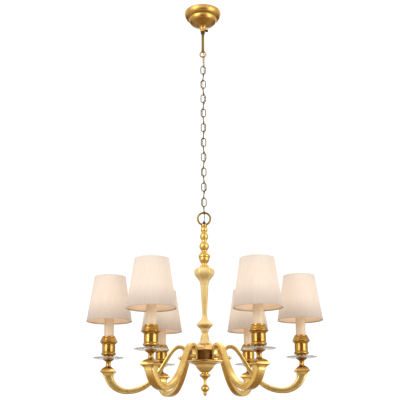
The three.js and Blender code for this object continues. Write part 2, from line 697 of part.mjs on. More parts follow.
// square plate with hollowed edges over a cove, and a domed four-sided cap that carries the spool
function knuckle() {
  const half = KNUCKLE_SIZE / 2;
  const hollow = half - 4;
  const corners = [[half, half], [-half, half], [-half, -half], [half, -half]];
  const outline = new THREE.Shape();
  outline.moveTo(half, -half);
  for (const [i, [x, y]] of corners.entries()) {
    const [fromX, fromY] = corners[(i + 3) % 4];
    const middle = new THREE.Vector2((x + fromX) / 2, (y + fromY) / 2).normalize().multiplyScalar(hollow);
    outline.quadraticCurveTo(middle.x, middle.y, x, y);
  }
  const plate = new THREE.ExtrudeGeometry(outline, {
    depth: KNUCKLE_THICKNESS, bevelEnabled: false, steps: 1, curveSegments: 4 });
  plate.translate(ARM_REACH, 0, -ARM_END_DROP);
  const top = KNUCKLE_THICKNESS - ARM_END_DROP;
  const capCorner = KNUCKLE_CAP_SIZE / 2 * Math.SQRT2;
  const cap = squareTurned([
    [0, top - 1],
    [capCorner, top - 1],
    [capCorner, top + KNUCKLE_CAP_HEIGHT * 0.1],
    [capCorner * 0.92, top + KNUCKLE_CAP_HEIGHT * 0.4],
    [capCorner * 0.82, top + KNUCKLE_CAP_HEIGHT * 0.6],
    [capCorner * 0.67, top + KNUCKLE_CAP_HEIGHT * 0.78],
    [KNUCKLE_TOP_RADIUS * Math.SQRT2, top + KNUCKLE_CAP_HEIGHT],
    [0, top + KNUCKLE_CAP_HEIGHT],
  ]);
  const shankCorner = ARM_END_THICKNESS / 2 * Math.SQRT2;
  const coveFoot = -ARM_END_DROP - KNUCKLE_COVE_HEIGHT;
  const cove = squareTurned([
    [0, coveFoot],
    [shankCorner, coveFoot],
    [shankCorner * 1.1, -ARM_END_DROP - KNUCKLE_COVE_HEIGHT * 0.55],
    [shankCorner * 1.25, -ARM_END_DROP - KNUCKLE_COVE_HEIGHT * 0.22],
    [capCorner, -ARM_END_DROP + 0.5],
    [0, -ARM_END_DROP + 0.5],
  ]);
  return joined(plate, cap, cove);
}

// ---------- spool, drip pan, cup, sleeve, holder and bulb, about their own upright axis ----------

const PAN_TOP = PAN_LEVEL + PAN_THICKNESS;
const CUP_FOOT = PAN_TOP + SEAT;
const CUP_FLOOR = CUP_FOOT + CUP_HEIGHT - CUP_SOCKET_DEPTH;
const SLEEVE_FOOT = CUP_FLOOR + SEAT;
const SLEEVE_TOP = SLEEVE_FOOT + SLEEVE_LENGTH;
const HOLDER_TOP = SLEEVE_TOP - 1;
const BULB_FOOT = SLEEVE_TOP + 1;
const SHADE_FOOT = PAN_LEVEL + SHADE_ABOVE_PAN;
const SHADE_TOP = SHADE_FOOT + SHADE_HEIGHT;

function spool() {
  const foot = PAN_LEVEL - SEAT - SPOOL_HEIGHT;
  const dish = PAN_LEVEL - SEAT;
  return turned([
    [0, foot],
    [KNUCKLE_TOP_RADIUS, foot],
    [KNUCKLE_TOP_RADIUS - 0.4, foot + 2],
    [SPOOL_RADIUS, foot + 5],
    [SPOOL_RADIUS, dish - 9],
    [SPOOL_RADIUS + 4.4, dish - 5],
    [SPOOL_DISH_RADIUS - 1, dish - SPOOL_DISH_THICKNESS],
    [SPOOL_DISH_RADIUS, dish - SPOOL_DISH_THICKNESS / 2],
    [SPOOL_DISH_RADIUS - 1, dish],
    [PAN_HOLE - SEAT, dish],
    [PAN_HOLE - SEAT, PAN_TOP],
    [0, PAN_TOP],
  ], SMALL_SIDES + 2);
}

function dripPan() {
  const rim = PAN_LEVEL + PAN_DISH;
  return turnedRing([
    [PAN_HOLE, PAN_LEVEL],
    [PAN_RADIUS * 0.5, PAN_LEVEL],
    [PAN_RADIUS, rim],
    [PAN_RADIUS, rim + PAN_THICKNESS],
    [PAN_RADIUS * 0.5, PAN_TOP],
    [PAN_HOLE, PAN_TOP],
  ], WIDE_SIDES);
}

function candleCup() {
  const bore = SLEEVE_RADIUS + SEAT;
  const beadHeight = 12;
  const flangeHeight = CUP_HEIGHT - 17;
  const heights = [
    [0, 0],
    [CUP_FOOT_RADIUS, 0],
    [CUP_FOOT_RADIUS, 7],
    [CUP_BEAD_RADIUS - 2, beadHeight - 3],
    [CUP_BEAD_RADIUS, beadHeight + 1],
    [CUP_BODY_RADIUS, beadHeight + 5],
    [CUP_BODY_RADIUS, flangeHeight - 6],
    [CUP_FLANGE_RADIUS, flangeHeight - 1],
    [CUP_FLANGE_RADIUS - 0.8, flangeHeight + 2],
    [CUP_LIP_RADIUS + 2, CUP_HEIGHT - 6],
    [CUP_LIP_RADIUS, CUP_HEIGHT],
    [bore, CUP_HEIGHT],
    [bore, CUP_HEIGHT - CUP_SOCKET_DEPTH],
    [0, CUP_HEIGHT - CUP_SOCKET_DEPTH],
  ];
  return turned(heights.map(([radius, height]) => [radius, CUP_FOOT + height]));
}

function candleSleeve() {
  return turnedRing([
    [SLEEVE_RADIUS - SLEEVE_WALL, SLEEVE_FOOT],
    [SLEEVE_RADIUS, SLEEVE_FOOT],
    [SLEEVE_RADIUS, SLEEVE_TOP],
    [SLEEVE_RADIUS - SLEEVE_WALL, SLEEVE_TOP],
  ], ROUND_SIDES);
}

// threaded lamp holder on the nipple that stands in the cup
function lampHolder() {
  const bodyFoot = HOLDER_TOP - HOLDER_DEPTH - 4;
  const boreFloor = HOLDER_TOP - HOLDER_DEPTH;
  return turned([
    [0, CUP_FLOOR + SEAT],
    [5, CUP_FLOOR + SEAT],
    [5, bodyFoot - 6],
    [HOLDER_RADIUS, bodyFoot],
    [HOLDER_RADIUS, HOLDER_TOP],
    [HOLDER_BORE, HOLDER_TOP],
    [HOLDER_BORE, boreFloor],
    [0, boreFloor],
  ], SMALL_SIDES);
}

// candle bulb: screw cap, and glass that is widest a third of the way up
function bulb() {
  const capRadius = HOLDER_BORE * Math.cos(Math.PI / SMALL_SIDES) - SEAT;
  const capFoot = BULB_FOOT - 2 - BULB_CAP_LENGTH;
  const shoulder = BULB_REST_HEIGHT;
  const tip = BULB_LENGTH - shoulder;
  return turned([
    [0, capFoot],
    [capRadius - 3, capFoot],
    [capRadius, capFoot + 4],
    [capRadius, BULB_FOOT - 1],
    [9, BULB_FOOT],
    [BULB_RADIUS * 0.8, BULB_FOOT + shoulder * 0.3],
    [BULB_RADIUS, BULB_FOOT + shoulder * 0.68],
    [BULB_REST_RADIUS, BULB_FOOT + shoulder],
    [BULB_REST_RADIUS * 0.78, BULB_FOOT + shoulder + tip * 0.36],
    [BULB_REST_RADIUS * 0.45, BULB_FOOT + shoulder + tip * 0.7],
    [BULB_REST_RADIUS * 0.12, BULB_FOOT + BULB_LENGTH - 1],
    [0, BULB_FOOT + BULB_LENGTH],
  ], SMALL_SIDES);
}

// ---------- shade ----------

// tapered fabric drum on a wire carrier: top hoop, sloping spokes and the ring that rests on the bulb
function shade() {
  const hoopTop = SHADE_TOP - CARRIER_WIRE / 2;
  const hoopFoot = hoopTop - CARRIER_WIRE;
  const wallInner = (height) => {
    const share = (height - SHADE_FOOT) / SHADE_HEIGHT;
    return SHADE_BOTTOM_RADIUS + (SHADE_TOP_RADIUS - SHADE_BOTTOM_RADIUS) * share - SHADE_WALL;
  };
  const hoopInner = wallInner(hoopTop) - CARRIER_WIRE;
  const drum = turnedRing([
    [SHADE_BOTTOM_RADIUS - SHADE_WALL, SHADE_FOOT],
    [SHADE_BOTTOM_RADIUS, SHADE_FOOT],
    [SHADE_TOP_RADIUS, SHADE_TOP],
    [SHADE_TOP_RADIUS - SHADE_WALL, SHADE_TOP],
    [hoopInner, hoopTop],
    [hoopInner, hoopFoot],
    [wallInner(hoopFoot), hoopFoot],
  ], WIDE_SIDES);
  const ringHeight = BULB_FOOT + BULB_REST_HEIGHT + CARRIER_WIRE / 2 + SEAT;
  const ringRadius = (BULB_REST_RADIUS + SEAT + CARRIER_WIRE / 2) / Math.cos(Math.PI / SMALL_SIDES);
  const clip = torus(ringRadius, CARRIER_WIRE, SMALL_SIDES, WIRE_SIDES).translate(0, 0, ringHeight);
  const spokes = Array.from({ length: CARRIER_SPOKES }, (_, i) => {
    const angle = (i + 0.5) * SPOKE_TURN;
    const across = new THREE.Vector3(Math.cos(angle), Math.sin(angle), 0);
    const from = across.clone().multiplyScalar(ringRadius).setZ(ringHeight);
    const to = across.clone().multiplyScalar(hoopInner + CARRIER_WIRE / 2).setZ(hoopFoot + CARRIER_WIRE / 2);
    return rod(from, to, CARRIER_WIRE / 2);
  });
  return toGeometry(joined(drum, clip, ...spokes));
}

function rod(from, to, radius) {
  const along = to.clone().sub(from);
  const geometry = new THREE.CylinderGeometry(radius, radius, along.length(), WIRE_SIDES);
  const upright = new THREE.Vector3(0, 1, 0);
  geometry.applyQuaternion(new THREE.Quaternion().setFromUnitVectors(upright, along.clone().normalize()));
  const middle = from.clone().add(to).multiplyScalar(0.5);
  return geometry.translate(middle.x, middle.y, middle.z);
}

// ---------- assembly ----------

const chandelier = new THREE.Group();

function add(parent, name, geometry, material) {
  const mesh = new THREE.Mesh(geometry, material);
  mesh.name = name;
  parent.add(mesh);
  return mesh;
}

add(chandelier, 'ceiling_bracket', ceilingBracket(), FINISHES.plated_steel());
add(chandelier, 'canopy', canopy(), FINISHES.polished_brass());
const screw = add(chandelier, 'thumb_screw', thumbScrew(), FINISHES.antique_brass());
screw.position.z = -CANOPY_HEIGHT + THUMB_SCREW_ABOVE_RIM;
add(chandelier, 'stem', stem(), FINISHES.polished_brass());
add(chandelier, 'chain', chain(), FINISHES.antique_brass());
add(chandelier, 'flex', flex(), FINISHES.clear_flex());
add(chandelier, 'hanging_ring', hangingRing(), FINISHES.antique_brass());
add(chandelier, 'baluster', baluster(), FINISHES.polished_brass());
add(chandelier, 'column', column(), FINISHES.satin_brass());
add(chandelier, 'hub', hub(), FINISHES.polished_brass());
add(chandelier, 'bowl', bowl(), FINISHES.satin_brass());
add(chandelier, 'finial', finial(), FINISHES.polished_brass());

for (let i = 0; i < ARM_COUNT; i += 1) {
  const spread = new THREE.Group();
  spread.rotation.z = (i / ARM_COUNT) * 2 * Math.PI;
  chandelier.add(spread);
  const number = i + 1;
  add(spread, `arm_${number}`, arm(), FINISHES.polished_brass()).position.z = PLATE_TOP;
  const light = new THREE.Group();
  light.position.x = ARM_REACH;
  spread.add(light);
  add(light, `spool_${number}`, spool(), FINISHES.polished_brass());
  add(light, `drip_pan_${number}`, dripPan(), FINISHES.clear_glass());
  add(light, `candle_cup_${number}`, candleCup(), FINISHES.polished_brass());
  add(light, `candle_sleeve_${number}`, candleSleeve(), FINISHES.ivory_tube());
  add(light, `lamp_holder_${number}`, lampHolder(), FINISHES.white_plastic());
  add(light, `bulb_${number}`, bulb(), FINISHES.bulb_glass());
  add(light, `shade_${number}`, shade(), FINISHES.shade_fabric());
}

export default chandelier;
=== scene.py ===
# Six-arm candle chandelier: brass frame hung on a chain, clear glass drip pans and clip-on fabric shades.
# The pieces follow in the order they are hung, from the ceiling down. Sizes are in millimetres.
import math

import bmesh
import bpy
from mathutils import Matrix, Vector


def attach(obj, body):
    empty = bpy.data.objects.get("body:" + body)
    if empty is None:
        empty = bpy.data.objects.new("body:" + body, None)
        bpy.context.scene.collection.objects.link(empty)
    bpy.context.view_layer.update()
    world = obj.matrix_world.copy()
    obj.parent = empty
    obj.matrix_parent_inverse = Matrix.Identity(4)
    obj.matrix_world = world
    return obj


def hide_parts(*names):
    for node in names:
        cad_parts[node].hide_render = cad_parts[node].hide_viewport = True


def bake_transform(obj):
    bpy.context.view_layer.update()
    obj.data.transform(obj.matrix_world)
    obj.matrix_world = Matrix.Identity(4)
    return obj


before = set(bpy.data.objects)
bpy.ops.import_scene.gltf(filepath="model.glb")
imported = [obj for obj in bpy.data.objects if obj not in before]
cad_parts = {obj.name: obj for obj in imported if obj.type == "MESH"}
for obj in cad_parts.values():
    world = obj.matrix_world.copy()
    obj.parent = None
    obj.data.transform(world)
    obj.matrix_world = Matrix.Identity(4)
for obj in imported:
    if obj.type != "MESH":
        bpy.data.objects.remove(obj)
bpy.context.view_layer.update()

MM = 0.001

# ---- viewpoint ----
# The eye is just under the arms and some 2.2 m in front of the column, looking up.
# The view is shifted up a little, so that it takes in the canopy while the lamps' sides stay nearly upright.
EYE = (-1.05, -2245.8, -1317.14)
HEADING = math.radians(-0.30)
LOOK_UP = math.radians(12.88)
ROLL = math.radians(-0.30)


def in_scene(name, data):
    """Puts new data in the scene as an object of that name."""
    thing = bpy.data.objects.new(name, data)
    bpy.context.scene.collection.objects.link(thing)
    return thing


camera = in_scene("viewpoint", bpy.data.cameras.new("viewpoint"))
camera.data.lens = 69.13
camera.data.sensor_width = 36
camera.data.shift_y = 0.14
camera.data.clip_start = 0.05
camera.data.clip_end = 60
ahead = Vector((math.sin(HEADING) * math.cos(LOOK_UP), math.cos(HEADING) * math.cos(LOOK_UP),
                math.sin(LOOK_UP)))
level_right = Vector((math.cos(HEADING), -math.sin(HEADING), 0))
level_up = level_right.cross(ahead)
right = level_right * math.cos(ROLL) + level_up * math.sin(ROLL)
up = right.cross(ahead)
camera.matrix_world = Matrix.Translation(Vector(EYE) * MM) @ Matrix((right, up, -ahead)).transposed().to_4x4()
bpy.context.scene.camera = camera
bpy.context.scene.view_settings.view_transform = "Standard"


# ---- studio: surroundings, lamps and floor ----
# A white surround with soft box lamps, and a plain pale floor well below the hanging frame.
# Brown flags that only polished metal mirrors give the brass its dark streaks.
def linear(code):
    """An sRGB hex value as the linear colour that a socket takes."""
    parts = [int(code[i:i + 2], 16) / 255 for i in (1, 3, 5)]
    return (*[c / 12.92 if c <= 0.04045 else ((c + 0.055) / 1.055) ** 2.4 for c in parts], 1)


def feed(node, inputs):
    """Gives each input of a node its value, or the socket that feeds it."""
    for key, value in inputs.items():
        if isinstance(value, bpy.types.NodeSocket):
            node.id_data.links.new(value, node.inputs[key])
        else:
            node.inputs[key].default_value = value


def add_node(tree, kind, inputs=None, **settings):
    """Adds a node with its settings, and feeds its inputs."""
    node = tree.nodes.new(kind)
    for key, value in settings.items():
        setattr(node, key, value)
    feed(node, inputs or {})
    return node


surround = bpy.data.worlds.new("white studio")
bpy.context.scene.world = surround
surround.use_nodes = True
tree = surround.node_tree
tree.nodes.clear()
ray = add_node(tree, "ShaderNodeLightPath")
seen = add_node(tree, "ShaderNodeMath", {0: ray.outputs["Is Camera Ray"],
    1: ray.outputs["Is Transmission Ray"]}, operation="MAXIMUM")
light = add_node(tree, "ShaderNodeBackground", {"Color": linear("#f4f2ee"), "Strength": 0.5})
white = add_node(tree, "ShaderNodeBackground", {"Color": (1, 1, 1, 1), "Strength": 1.1})
mirrored = add_node(tree, "ShaderNodeBackground", {"Color": linear("#fdf8f0"), "Strength": 0.95})
shown = add_node(tree, "ShaderNodeMixShader", {0: seen.outputs[0], 1: light.outputs[0], 2: white.outputs[0]})
shown = add_node(tree, "ShaderNodeMixShader", {0: ray.outputs["Is Glossy Ray"], 1: shown.outputs[0],
                                               2: mirrored.outputs[0]})
add_node(tree, "ShaderNodeOutputWorld", {"Surface": shown.outputs[0]})

LIT_POINT = (0, 0, -1000)
SOFT_BOXES = {
    "key": ((-1500, -1500, -150), (1200, 1600), 26),
    "fill": ((1700, -1200, -700), (1200, 1600), 20),
    "top": ((200, 900, 600), (1800, 1800), 10),
}
for name, (place, size, power) in SOFT_BOXES.items():
    lamp = bpy.data.lights.new(f"soft_box_{name}", "AREA")
    lamp.shape = "RECTANGLE"
    lamp.size, lamp.size_y = size[0] * MM, size[1] * MM
    lamp.energy = power
    box = in_scene(f"soft_box_{name}", lamp)
    box.location = Vector(place) * MM
    box.rotation_euler = (Vector(LIT_POINT) * MM - box.location).to_track_quat("-Z", "Y").to_euler()


def flat_stage(name, low, high, material):
    """An upright or level rectangle between two corners, which isn't part of the chandelier."""
    (x0, y0, z0), (x1, y1, z1) = low, high
    corners = [(x0, y0, z0), (x1, y0, z0), (x1, y1, z1), (x0, y1, z1)]
    mesh = bpy.data.meshes.new(name)
    mesh.from_pydata([Vector(c) * MM for c in corners], [], [(0, 1, 2, 3)])
    mesh.materials.append(material)
    stage = in_scene(name, mesh)
    return stage


pale_floor = bpy.data.materials.new("pale_floor_paint")
pale_floor.use_nodes = True
tree = pale_floor.node_tree
tree.nodes.clear()
ray = add_node(tree, "ShaderNodeLightPath")
seen = add_node(tree, "ShaderNodeMath", {0: ray.outputs["Is Camera Ray"], 1: ray.outputs["Is Glossy Ray"]},
                operation="MAXIMUM")
seen = add_node(tree, "ShaderNodeMath", {0: seen.outputs[0], 1: ray.outputs["Is Transmission Ray"]},
                operation="MAXIMUM")
share = add_node(tree, "ShaderNodeMath", {0: seen.outputs[0], 1: 0.72}, operation="MULTIPLY")
paint = add_node(tree, "ShaderNodeBsdfDiffuse", {"Color": linear("#efeeeb")})
glow = add_node(tree, "ShaderNodeEmission", {"Color": (1, 1, 1, 1), "Strength": 1.0})
shown = add_node(tree, "ShaderNodeMixShader", {0: share.outputs[0], 1: paint.outputs[0], 2: glow.outputs[0]})
# The floor has no underside, so that the lamps can be looked into from under it.
facing = add_node(tree, "ShaderNodeNewGeometry")
clear = add_node(tree, "ShaderNodeBsdfTransparent")
one_sided = add_node(tree, "ShaderNodeMixShader",
                     {0: facing.outputs["Backfacing"], 1: shown.outputs[0], 2: clear.outputs[0]})
add_node(tree, "ShaderNodeOutputMaterial", {"Surface": one_sided.outputs[0]})
FLOOR_LEVEL, FLOOR_REACH = -1800, 9000
flat_stage("floor", (-FLOOR_REACH, -FLOOR_REACH, FLOOR_LEVEL), (FLOOR_REACH, FLOOR_REACH, FLOOR_LEVEL),
    pale_floor)

FLAG_FOOT = FLOOR_LEVEL + 10
FLAGS = {
    "flag_front": ("#3a2a1c", (-1600, -2300, FLAG_FOOT), (1600, -2300, -700)),
    "flag_back_left": ("#6b5238", (-3600, 2600, FLAG_FOOT), (-1150, 2600, 300)),
    "flag_back_right": ("#6b5238", (1150, 2600, FLAG_FOOT), (3600, 2600, 300)),
    "flag_low": ("#c6a77c", (-1100, -1500, FLAG_FOOT), (1100, 900, FLAG_FOOT)),
}
for name, (colour, low, high) in FLAGS.items():
    cloth = bpy.data.materials.new(f"{name}_cloth")
    cloth.use_nodes = True
    cloth.node_tree.nodes.clear()
    shade = add_node(cloth.node_tree, "ShaderNodeEmission", {"Color": linear(colour), "Strength": 1.0})
    add_node(cloth.node_tree, "ShaderNodeOutputMaterial", {"Surface": shade.outputs[0]})
    flag = flat_stage(name, low, high, cloth)
    for ray_kind in ("camera", "diffuse", "transmission", "shadow"):
        setattr(flag, f"visible_{ray_kind}", False)


# ---- ceiling bracket and its screws ----
# A zinc-plated steel bar under the canopy, screwed to the ceiling; its threaded boss carries the stem.
# Two pan-head screws hold it up.
def start_material(name, base, metallic, roughness):
    """A named Principled material to build a finish on: returns it, its tree and its shader."""
    material = bpy.data.materials.new(name)
    material.use_nodes = True
    shader = material.node_tree.nodes["Principled BSDF"]
    feed(shader, {"Base Color": linear(base), "Metallic": metallic, "Roughness": roughness})
    return material, material.node_tree, shader


def zinc_plated_steel():
    """Bright zinc on pressed steel: grey, with the soft spangle and dull patches of plating."""
    material, tree, shader = start_material("zinc_plated_steel", "#b9bab8", 1.0, 0.38)
    place = add_node(tree, "ShaderNodeTexCoord")
    spangle = add_node(tree, "ShaderNodeTexVoronoi",
        {"Vector": place.outputs["Object"], "Scale": 1 / (4 * MM)})
    tint = add_node(tree, "ShaderNodeMix", {0: spangle.outputs["Distance"], 6: linear("#c9cac8"),
                                            7: linear("#9c9d9b")}, data_type="RGBA")
    wear = add_node(tree, "ShaderNodeTexNoise", {"Vector": place.outputs["Object"], "Scale": 1 / (7 * MM)})
    dull = add_node(tree, "ShaderNodeMapRange", {"Value": wear.outputs["Fac"], "To Min": 0.28,
        "To Max": 0.52})
    feed(shader, {"Base Color": tint.outputs[2], "Roughness": dull.outputs[0]})
    return material


def smooth_through(points, steps):
    """A curve through every point, in so many steps from each point to the next."""
    ghosts = [2 * points[0] - points[1], *points, 2 * points[-1] - points[-2]]
    curve = []
    for a, b, c, d in zip(ghosts, ghosts[1:], ghosts[2:], ghosts[3:]):
        for k in range(steps):
            t = k / steps
            curve.append(((2 * b) + (c - a) * t + (2 * a - 5 * b + 4 * c - d) * t * t
                          + (3 * b - a - 3 * c + d) * t ** 3) / 2)
    return [*curve, points[-1]]


def lathe_outline(start, *runs, steps=5):
    """An outline of [radius, height] points. A bare point is a straight line on to it, and a list is one
    smooth curve through its points. A crisp corner stands wherever two of them meet.
    """
    outline = [Vector(start)]
    for run in runs:
        if isinstance(run, list):
            outline += smooth_through([outline[-1], *map(Vector, run)], steps)[1:]
        else:
            outline.append(Vector(run))
    return outline


def angles_round(count):
    return [2 * math.pi * i / count for i in range(count)]


def round_section(sides):
    return [(math.cos(a), math.sin(a)) for a in angles_round(sides)]


SAME_POINT = 1e-4


def skin(rings, closed_on_itself=False, capped=False):
    """A bmesh skinned over rings of points, each ring as long as the next or a single point at a pole."""
    shell = bmesh.new()
    made = [[shell.verts.new(Vector(p) * MM) for p in ring] for ring in rings]
    pairs = list(zip(made, made[1:]))
    if closed_on_itself:
        pairs.append((made[-1], made[0]))
    for low, high in pairs:
        count = max(len(low), len(high))
        for i in range(count):
            j = (i + 1) % count
            corners = []
            for ring, order in ((low, (i, j)), (high, (j, i))):
                corners += [ring[0]] if len(ring) == 1 else [ring[k] for k in order]
            shell.faces.new(corners)
    if capped:
        shell.faces.new(made[0])
        shell.faces.new(made[-1])
    bmesh.ops.recalc_face_normals(shell, faces=shell.faces)
    return shell


def as_piece(name, shell, material, crisp=34):
    """Turns a bmesh into a smooth-shaded piece whose edges past the crisp angle stay sharp."""
    for face in shell.faces:
        face.smooth = True
    mesh = bpy.data.meshes.new(name)
    shell.to_mesh(mesh)
    shell.free()
    mesh.set_sharp_from_angle(angle=math.radians(crisp))
    mesh.materials.append(material)
    return in_scene(name, mesh)


def turned_shell(outline, section, level=0, reach=0):
    """Carries an outline of [radius, height] round a section about an upright axis, at a level and a reach
    to the right. An outline that comes back to its start leaves the middle open. Any other one starts and
    ends on the axis.
    """
    open_middle = (Vector(outline[0]) - Vector(outline[-1])).length < SAME_POINT
    rings = []
    for radius, height in outline[:-1] if open_middle else outline:
        spread = section if radius > SAME_POINT else [(0, 0)]
        rings.append([(reach + radius * x, radius * y, level + height) for x, y in spread])
    return skin(rings, closed_on_itself=open_middle)


def repeat_tree(name, count, step=(0, 0, 0), turn=(0, 0, 0)):
    """Geometry Nodes that lay a piece out again and again, each copy stepped and turned on from the last."""
    tree = bpy.data.node_groups.new(name, "GeometryNodeTree")
    for label, kind, value in (("Geometry", "NodeSocketGeometry", None), ("Count", "NodeSocketInt", count),
                               ("Step", "NodeSocketVector", step), ("Turn", "NodeSocketVector", turn),
                               ("Finish", "NodeSocketMaterial", None)):
        socket = tree.interface.new_socket(label, in_out="INPUT", socket_type=kind)
        if value is not None:
            socket.default_value = value
    tree.interface.new_socket("Geometry", in_out="OUTPUT", socket_type="NodeSocketGeometry")
    given = add_node(tree, "NodeGroupInput")
    line = add_node(tree, "GeometryNodeMeshLine", {"Count": given.outputs["Count"],
        "Offset": given.outputs["Step"]})
    index = add_node(tree, "GeometryNodeInputIndex")
    angle = add_node(tree, "ShaderNodeVectorMath", {0: given.outputs["Turn"], "Scale": index.outputs[0]},
                     operation="SCALE")
    copies = add_node(tree, "GeometryNodeInstanceOnPoints",
                      {"Points": line.outputs[0], "Instance": given.outputs["Geometry"],
                       "Rotation": angle.outputs["Vector"]})
    real = add_node(tree, "GeometryNodeRealizeInstances", {"Geometry": copies.outputs[0]})
    finished = add_node(tree, "GeometryNodeSetMaterial",
                        {"Geometry": real.outputs[0], "Material": given.outputs["Finish"]})
    add_node(tree, "NodeGroupOutput", {"Geometry": finished.outputs[0]})
    return tree


def made_real(piece, tree, **values):
    """Runs a node tree on a piece with its named inputs set, and keeps the result as its plain mesh."""
    modifier = piece.modifiers.new(tree.name, "NODES")
    modifier.node_group = tree
    for socket in tree.interface.items_tree:
        if socket.in_out == "INPUT" and socket.name in values:
            modifier[socket.identifier] = values[socket.name]
    bpy.context.view_layer.update()
    finished = piece.evaluated_get(bpy.context.evaluated_depsgraph_get())
    mesh = bpy.data.meshes.new_from_object(finished)
    piece.modifiers.clear()
    piece.data = mesh


plated = zinc_plated_steel()
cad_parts["ceiling_bracket"].data.materials.clear()
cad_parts["ceiling_bracket"].data.materials.append(plated)

SCREW_SPACING = 66
head = lathe_outline(
    (0, -5.4), [(1.5, -5.3), (3.0, -4.9), (4.1, -4.2), (4.6, -3.3)], (4.5, -3.05), (2.3, -3.05),
    (2.3, -0.3), (0, -0.3))
screw_heads = as_piece("bracket_screws", turned_shell(head, round_section(24), reach=-SCREW_SPACING / 2),
    plated)
made_real(screw_heads, repeat_tree("screws along the bracket", 2, step=(SCREW_SPACING * MM, 0, 0)),
    Finish=plated)
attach(screw_heads, "ceiling_end")


# ---- canopy, its bush and its thumb screw ----
# A spun brass cup, polished and lacquered, that hides the bracket. It slides on the stem.
# A black nylon bush closes its collar, and a small brass thumb screw through the collar grips the stem.
def brass(name, light, deep, roughness, tarnish=0.0, grain=(1, 1, 1), bare=1.0):
    """Lacquered brass: a warm tone that drifts between two colours and is deeper on the undersides as painted
    shade, wiping marks in the gloss, and fine working lines.

    The lines of a lathe or a brush are some 0.3 mm apart on the real piece. They are drawn about 2 mm apart,
    stretched along the way that grain is small, so that they still show. A thick matt lacquer scatters some
    of the light before it reaches the metal: bare is the share that gets through.
    """
    material, tree, shader = start_material(name, light, bare, roughness)
    place = add_node(tree, "ShaderNodeTexCoord")
    drift = add_node(tree, "ShaderNodeTexNoise",
                     {"Vector": place.outputs["Object"], "Scale": 1 / (38 * MM), "Detail": 3.0})
    tone = add_node(tree, "ShaderNodeMapRange", {"Value": drift.outputs["Fac"], "From Min": 0.35,
        "From Max": 0.68})
    colour = add_node(tree, "ShaderNodeMix", {0: tone.outputs[0], 6: linear(light), 7: linear(deep)},
                      data_type="RGBA")
    spots = add_node(tree, "ShaderNodeTexNoise", {"Vector": place.outputs["Object"], "Scale": 1 / (5 * MM),
        "Detail": 6.0, "Roughness": 0.65})
    aged = add_node(tree, "ShaderNodeMapRange", {"Value": spots.outputs["Fac"], "From Min": 0.46,
        "From Max": 0.72, "To Max": tarnish})
    colour = add_node(tree, "ShaderNodeMix", {0: aged.outputs[0], 6: colour.outputs[2], 7: linear("#5b3d1c")},
                      data_type="RGBA")
    # Painted shade: faces that point down are mixed towards a deep brown.
    facing = add_node(tree, "ShaderNodeNewGeometry")
    height = add_node(tree, "ShaderNodeSeparateXYZ", {"Vector": facing.outputs["Normal"]})
    under = add_node(tree, "ShaderNodeMapRange", {"Value": height.outputs["Z"], "From Min": -0.2,
        "From Max": -0.9, "To Max": 0.7}, interpolation_type="SMOOTHSTEP")
    colour = add_node(tree, "ShaderNodeMix", {0: under.outputs[0], 6: colour.outputs[2],
        7: linear("#8c652e")}, data_type="RGBA")
    wiped = add_node(tree, "ShaderNodeTexNoise", {"Vector": place.outputs["Object"], "Scale": 1 / (11 * MM),
        "Detail": 5.0, "Distortion": 0.8})
    gloss = add_node(tree, "ShaderNodeMapRange", {"Value": wiped.outputs["Fac"], "From Min": 0.3,
        "From Max": 0.75, "To Min": roughness * 0.85, "To Max": roughness * 1.25})
    stretch = add_node(tree, "ShaderNodeMapping", {"Vector": place.outputs["Object"], "Scale": grain})
    lines = add_node(tree, "ShaderNodeTexNoise",
                     {"Vector": stretch.outputs[0], "Scale": 1 / (2 * MM), "Detail": 3.0})
    relief = add_node(tree, "ShaderNodeBump", {"Height": lines.outputs["Fac"], "Strength": 0.05,
                                               "Distance": 0.3 * MM})
    feed(shader, {"Base Color": colour.outputs[2], "Roughness": gloss.outputs[0],
        "Normal": relief.outputs[0]})
    return material


TURNED = (0.06, 0.06, 1)
polished_brass = brass("polished_lacquered_brass", "#c89e53", "#a67a35", 0.22, 0.18, TURNED)

worn_brass = brass("soft_worn_brass", "#dcb060", "#bf8e42", 0.34, 0.15, TURNED, 0.95)
cup = lathe_outline(
    (56.4, 0), (58, 0), [(58.1, -2.5), (57.7, -6), (56.4, -10.5), (53.6, -15.5), (50.4, -19),
    (48, -20.4)], [(46.6, -21.4), (44.9, -21.6)], [(44.3, -24.5), (42.6, -29), (39.4, -33.8),
    (34.6, -37.6), (28, -41), (21.2, -43.6), (16.2, -46), (12.8, -48.8), (10.6, -52), (9.2, -55.4),
    (8.5, -58.4)], [(8.1, -59), (8, -60)], (8, -65.2), (7.4, -66), (4.9, -66), (4.9, -43), [(20, -41.8),
    (33.6, -36), (41, -28), (43, -20.4)], [(52, -15), (56.4, -4), (56.4, 0)])
canopy = as_piece("canopy_cup", turned_shell(cup, round_section(96)), worn_brass, 24)
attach(canopy, "canopy_cover")
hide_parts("canopy")


def moulded_nylon():
    """Black injection-moulded nylon: near-black with a faint eggshell texture."""
    material, tree, shader = start_material("black_moulded_nylon", "#17130f", 0.0, 0.42)
    place = add_node(tree, "ShaderNodeTexCoord")
    shell = add_node(tree, "ShaderNodeTexNoise", {"Vector": place.outputs["Object"], "Scale": 1 / (0.9 * MM)})
    relief = add_node(tree, "ShaderNodeBump", {"Height": shell.outputs["Fac"], "Strength": 0.15,
                                               "Distance": 0.1 * MM})
    gloss = add_node(tree, "ShaderNodeMapRange", {"Value": shell.outputs["Fac"], "To Min": 0.32,
        "To Max": 0.55})
    feed(shader, {"Normal": relief.outputs[0], "Roughness": gloss.outputs[0]})
    return material


black_nylon = moulded_nylon()
bush = lathe_outline(
    (4.8, -66.2), (6.4, -66.2), [(6.7, -67.4), (6.5, -70.2), (5.9, -73.2)], (5.4, -74), (4.8, -74),
    (4.8, -66.2))
collar_bush = as_piece("collar_bush", turned_shell(bush, round_section(48)), black_nylon)
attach(collar_bush, "canopy_cover")

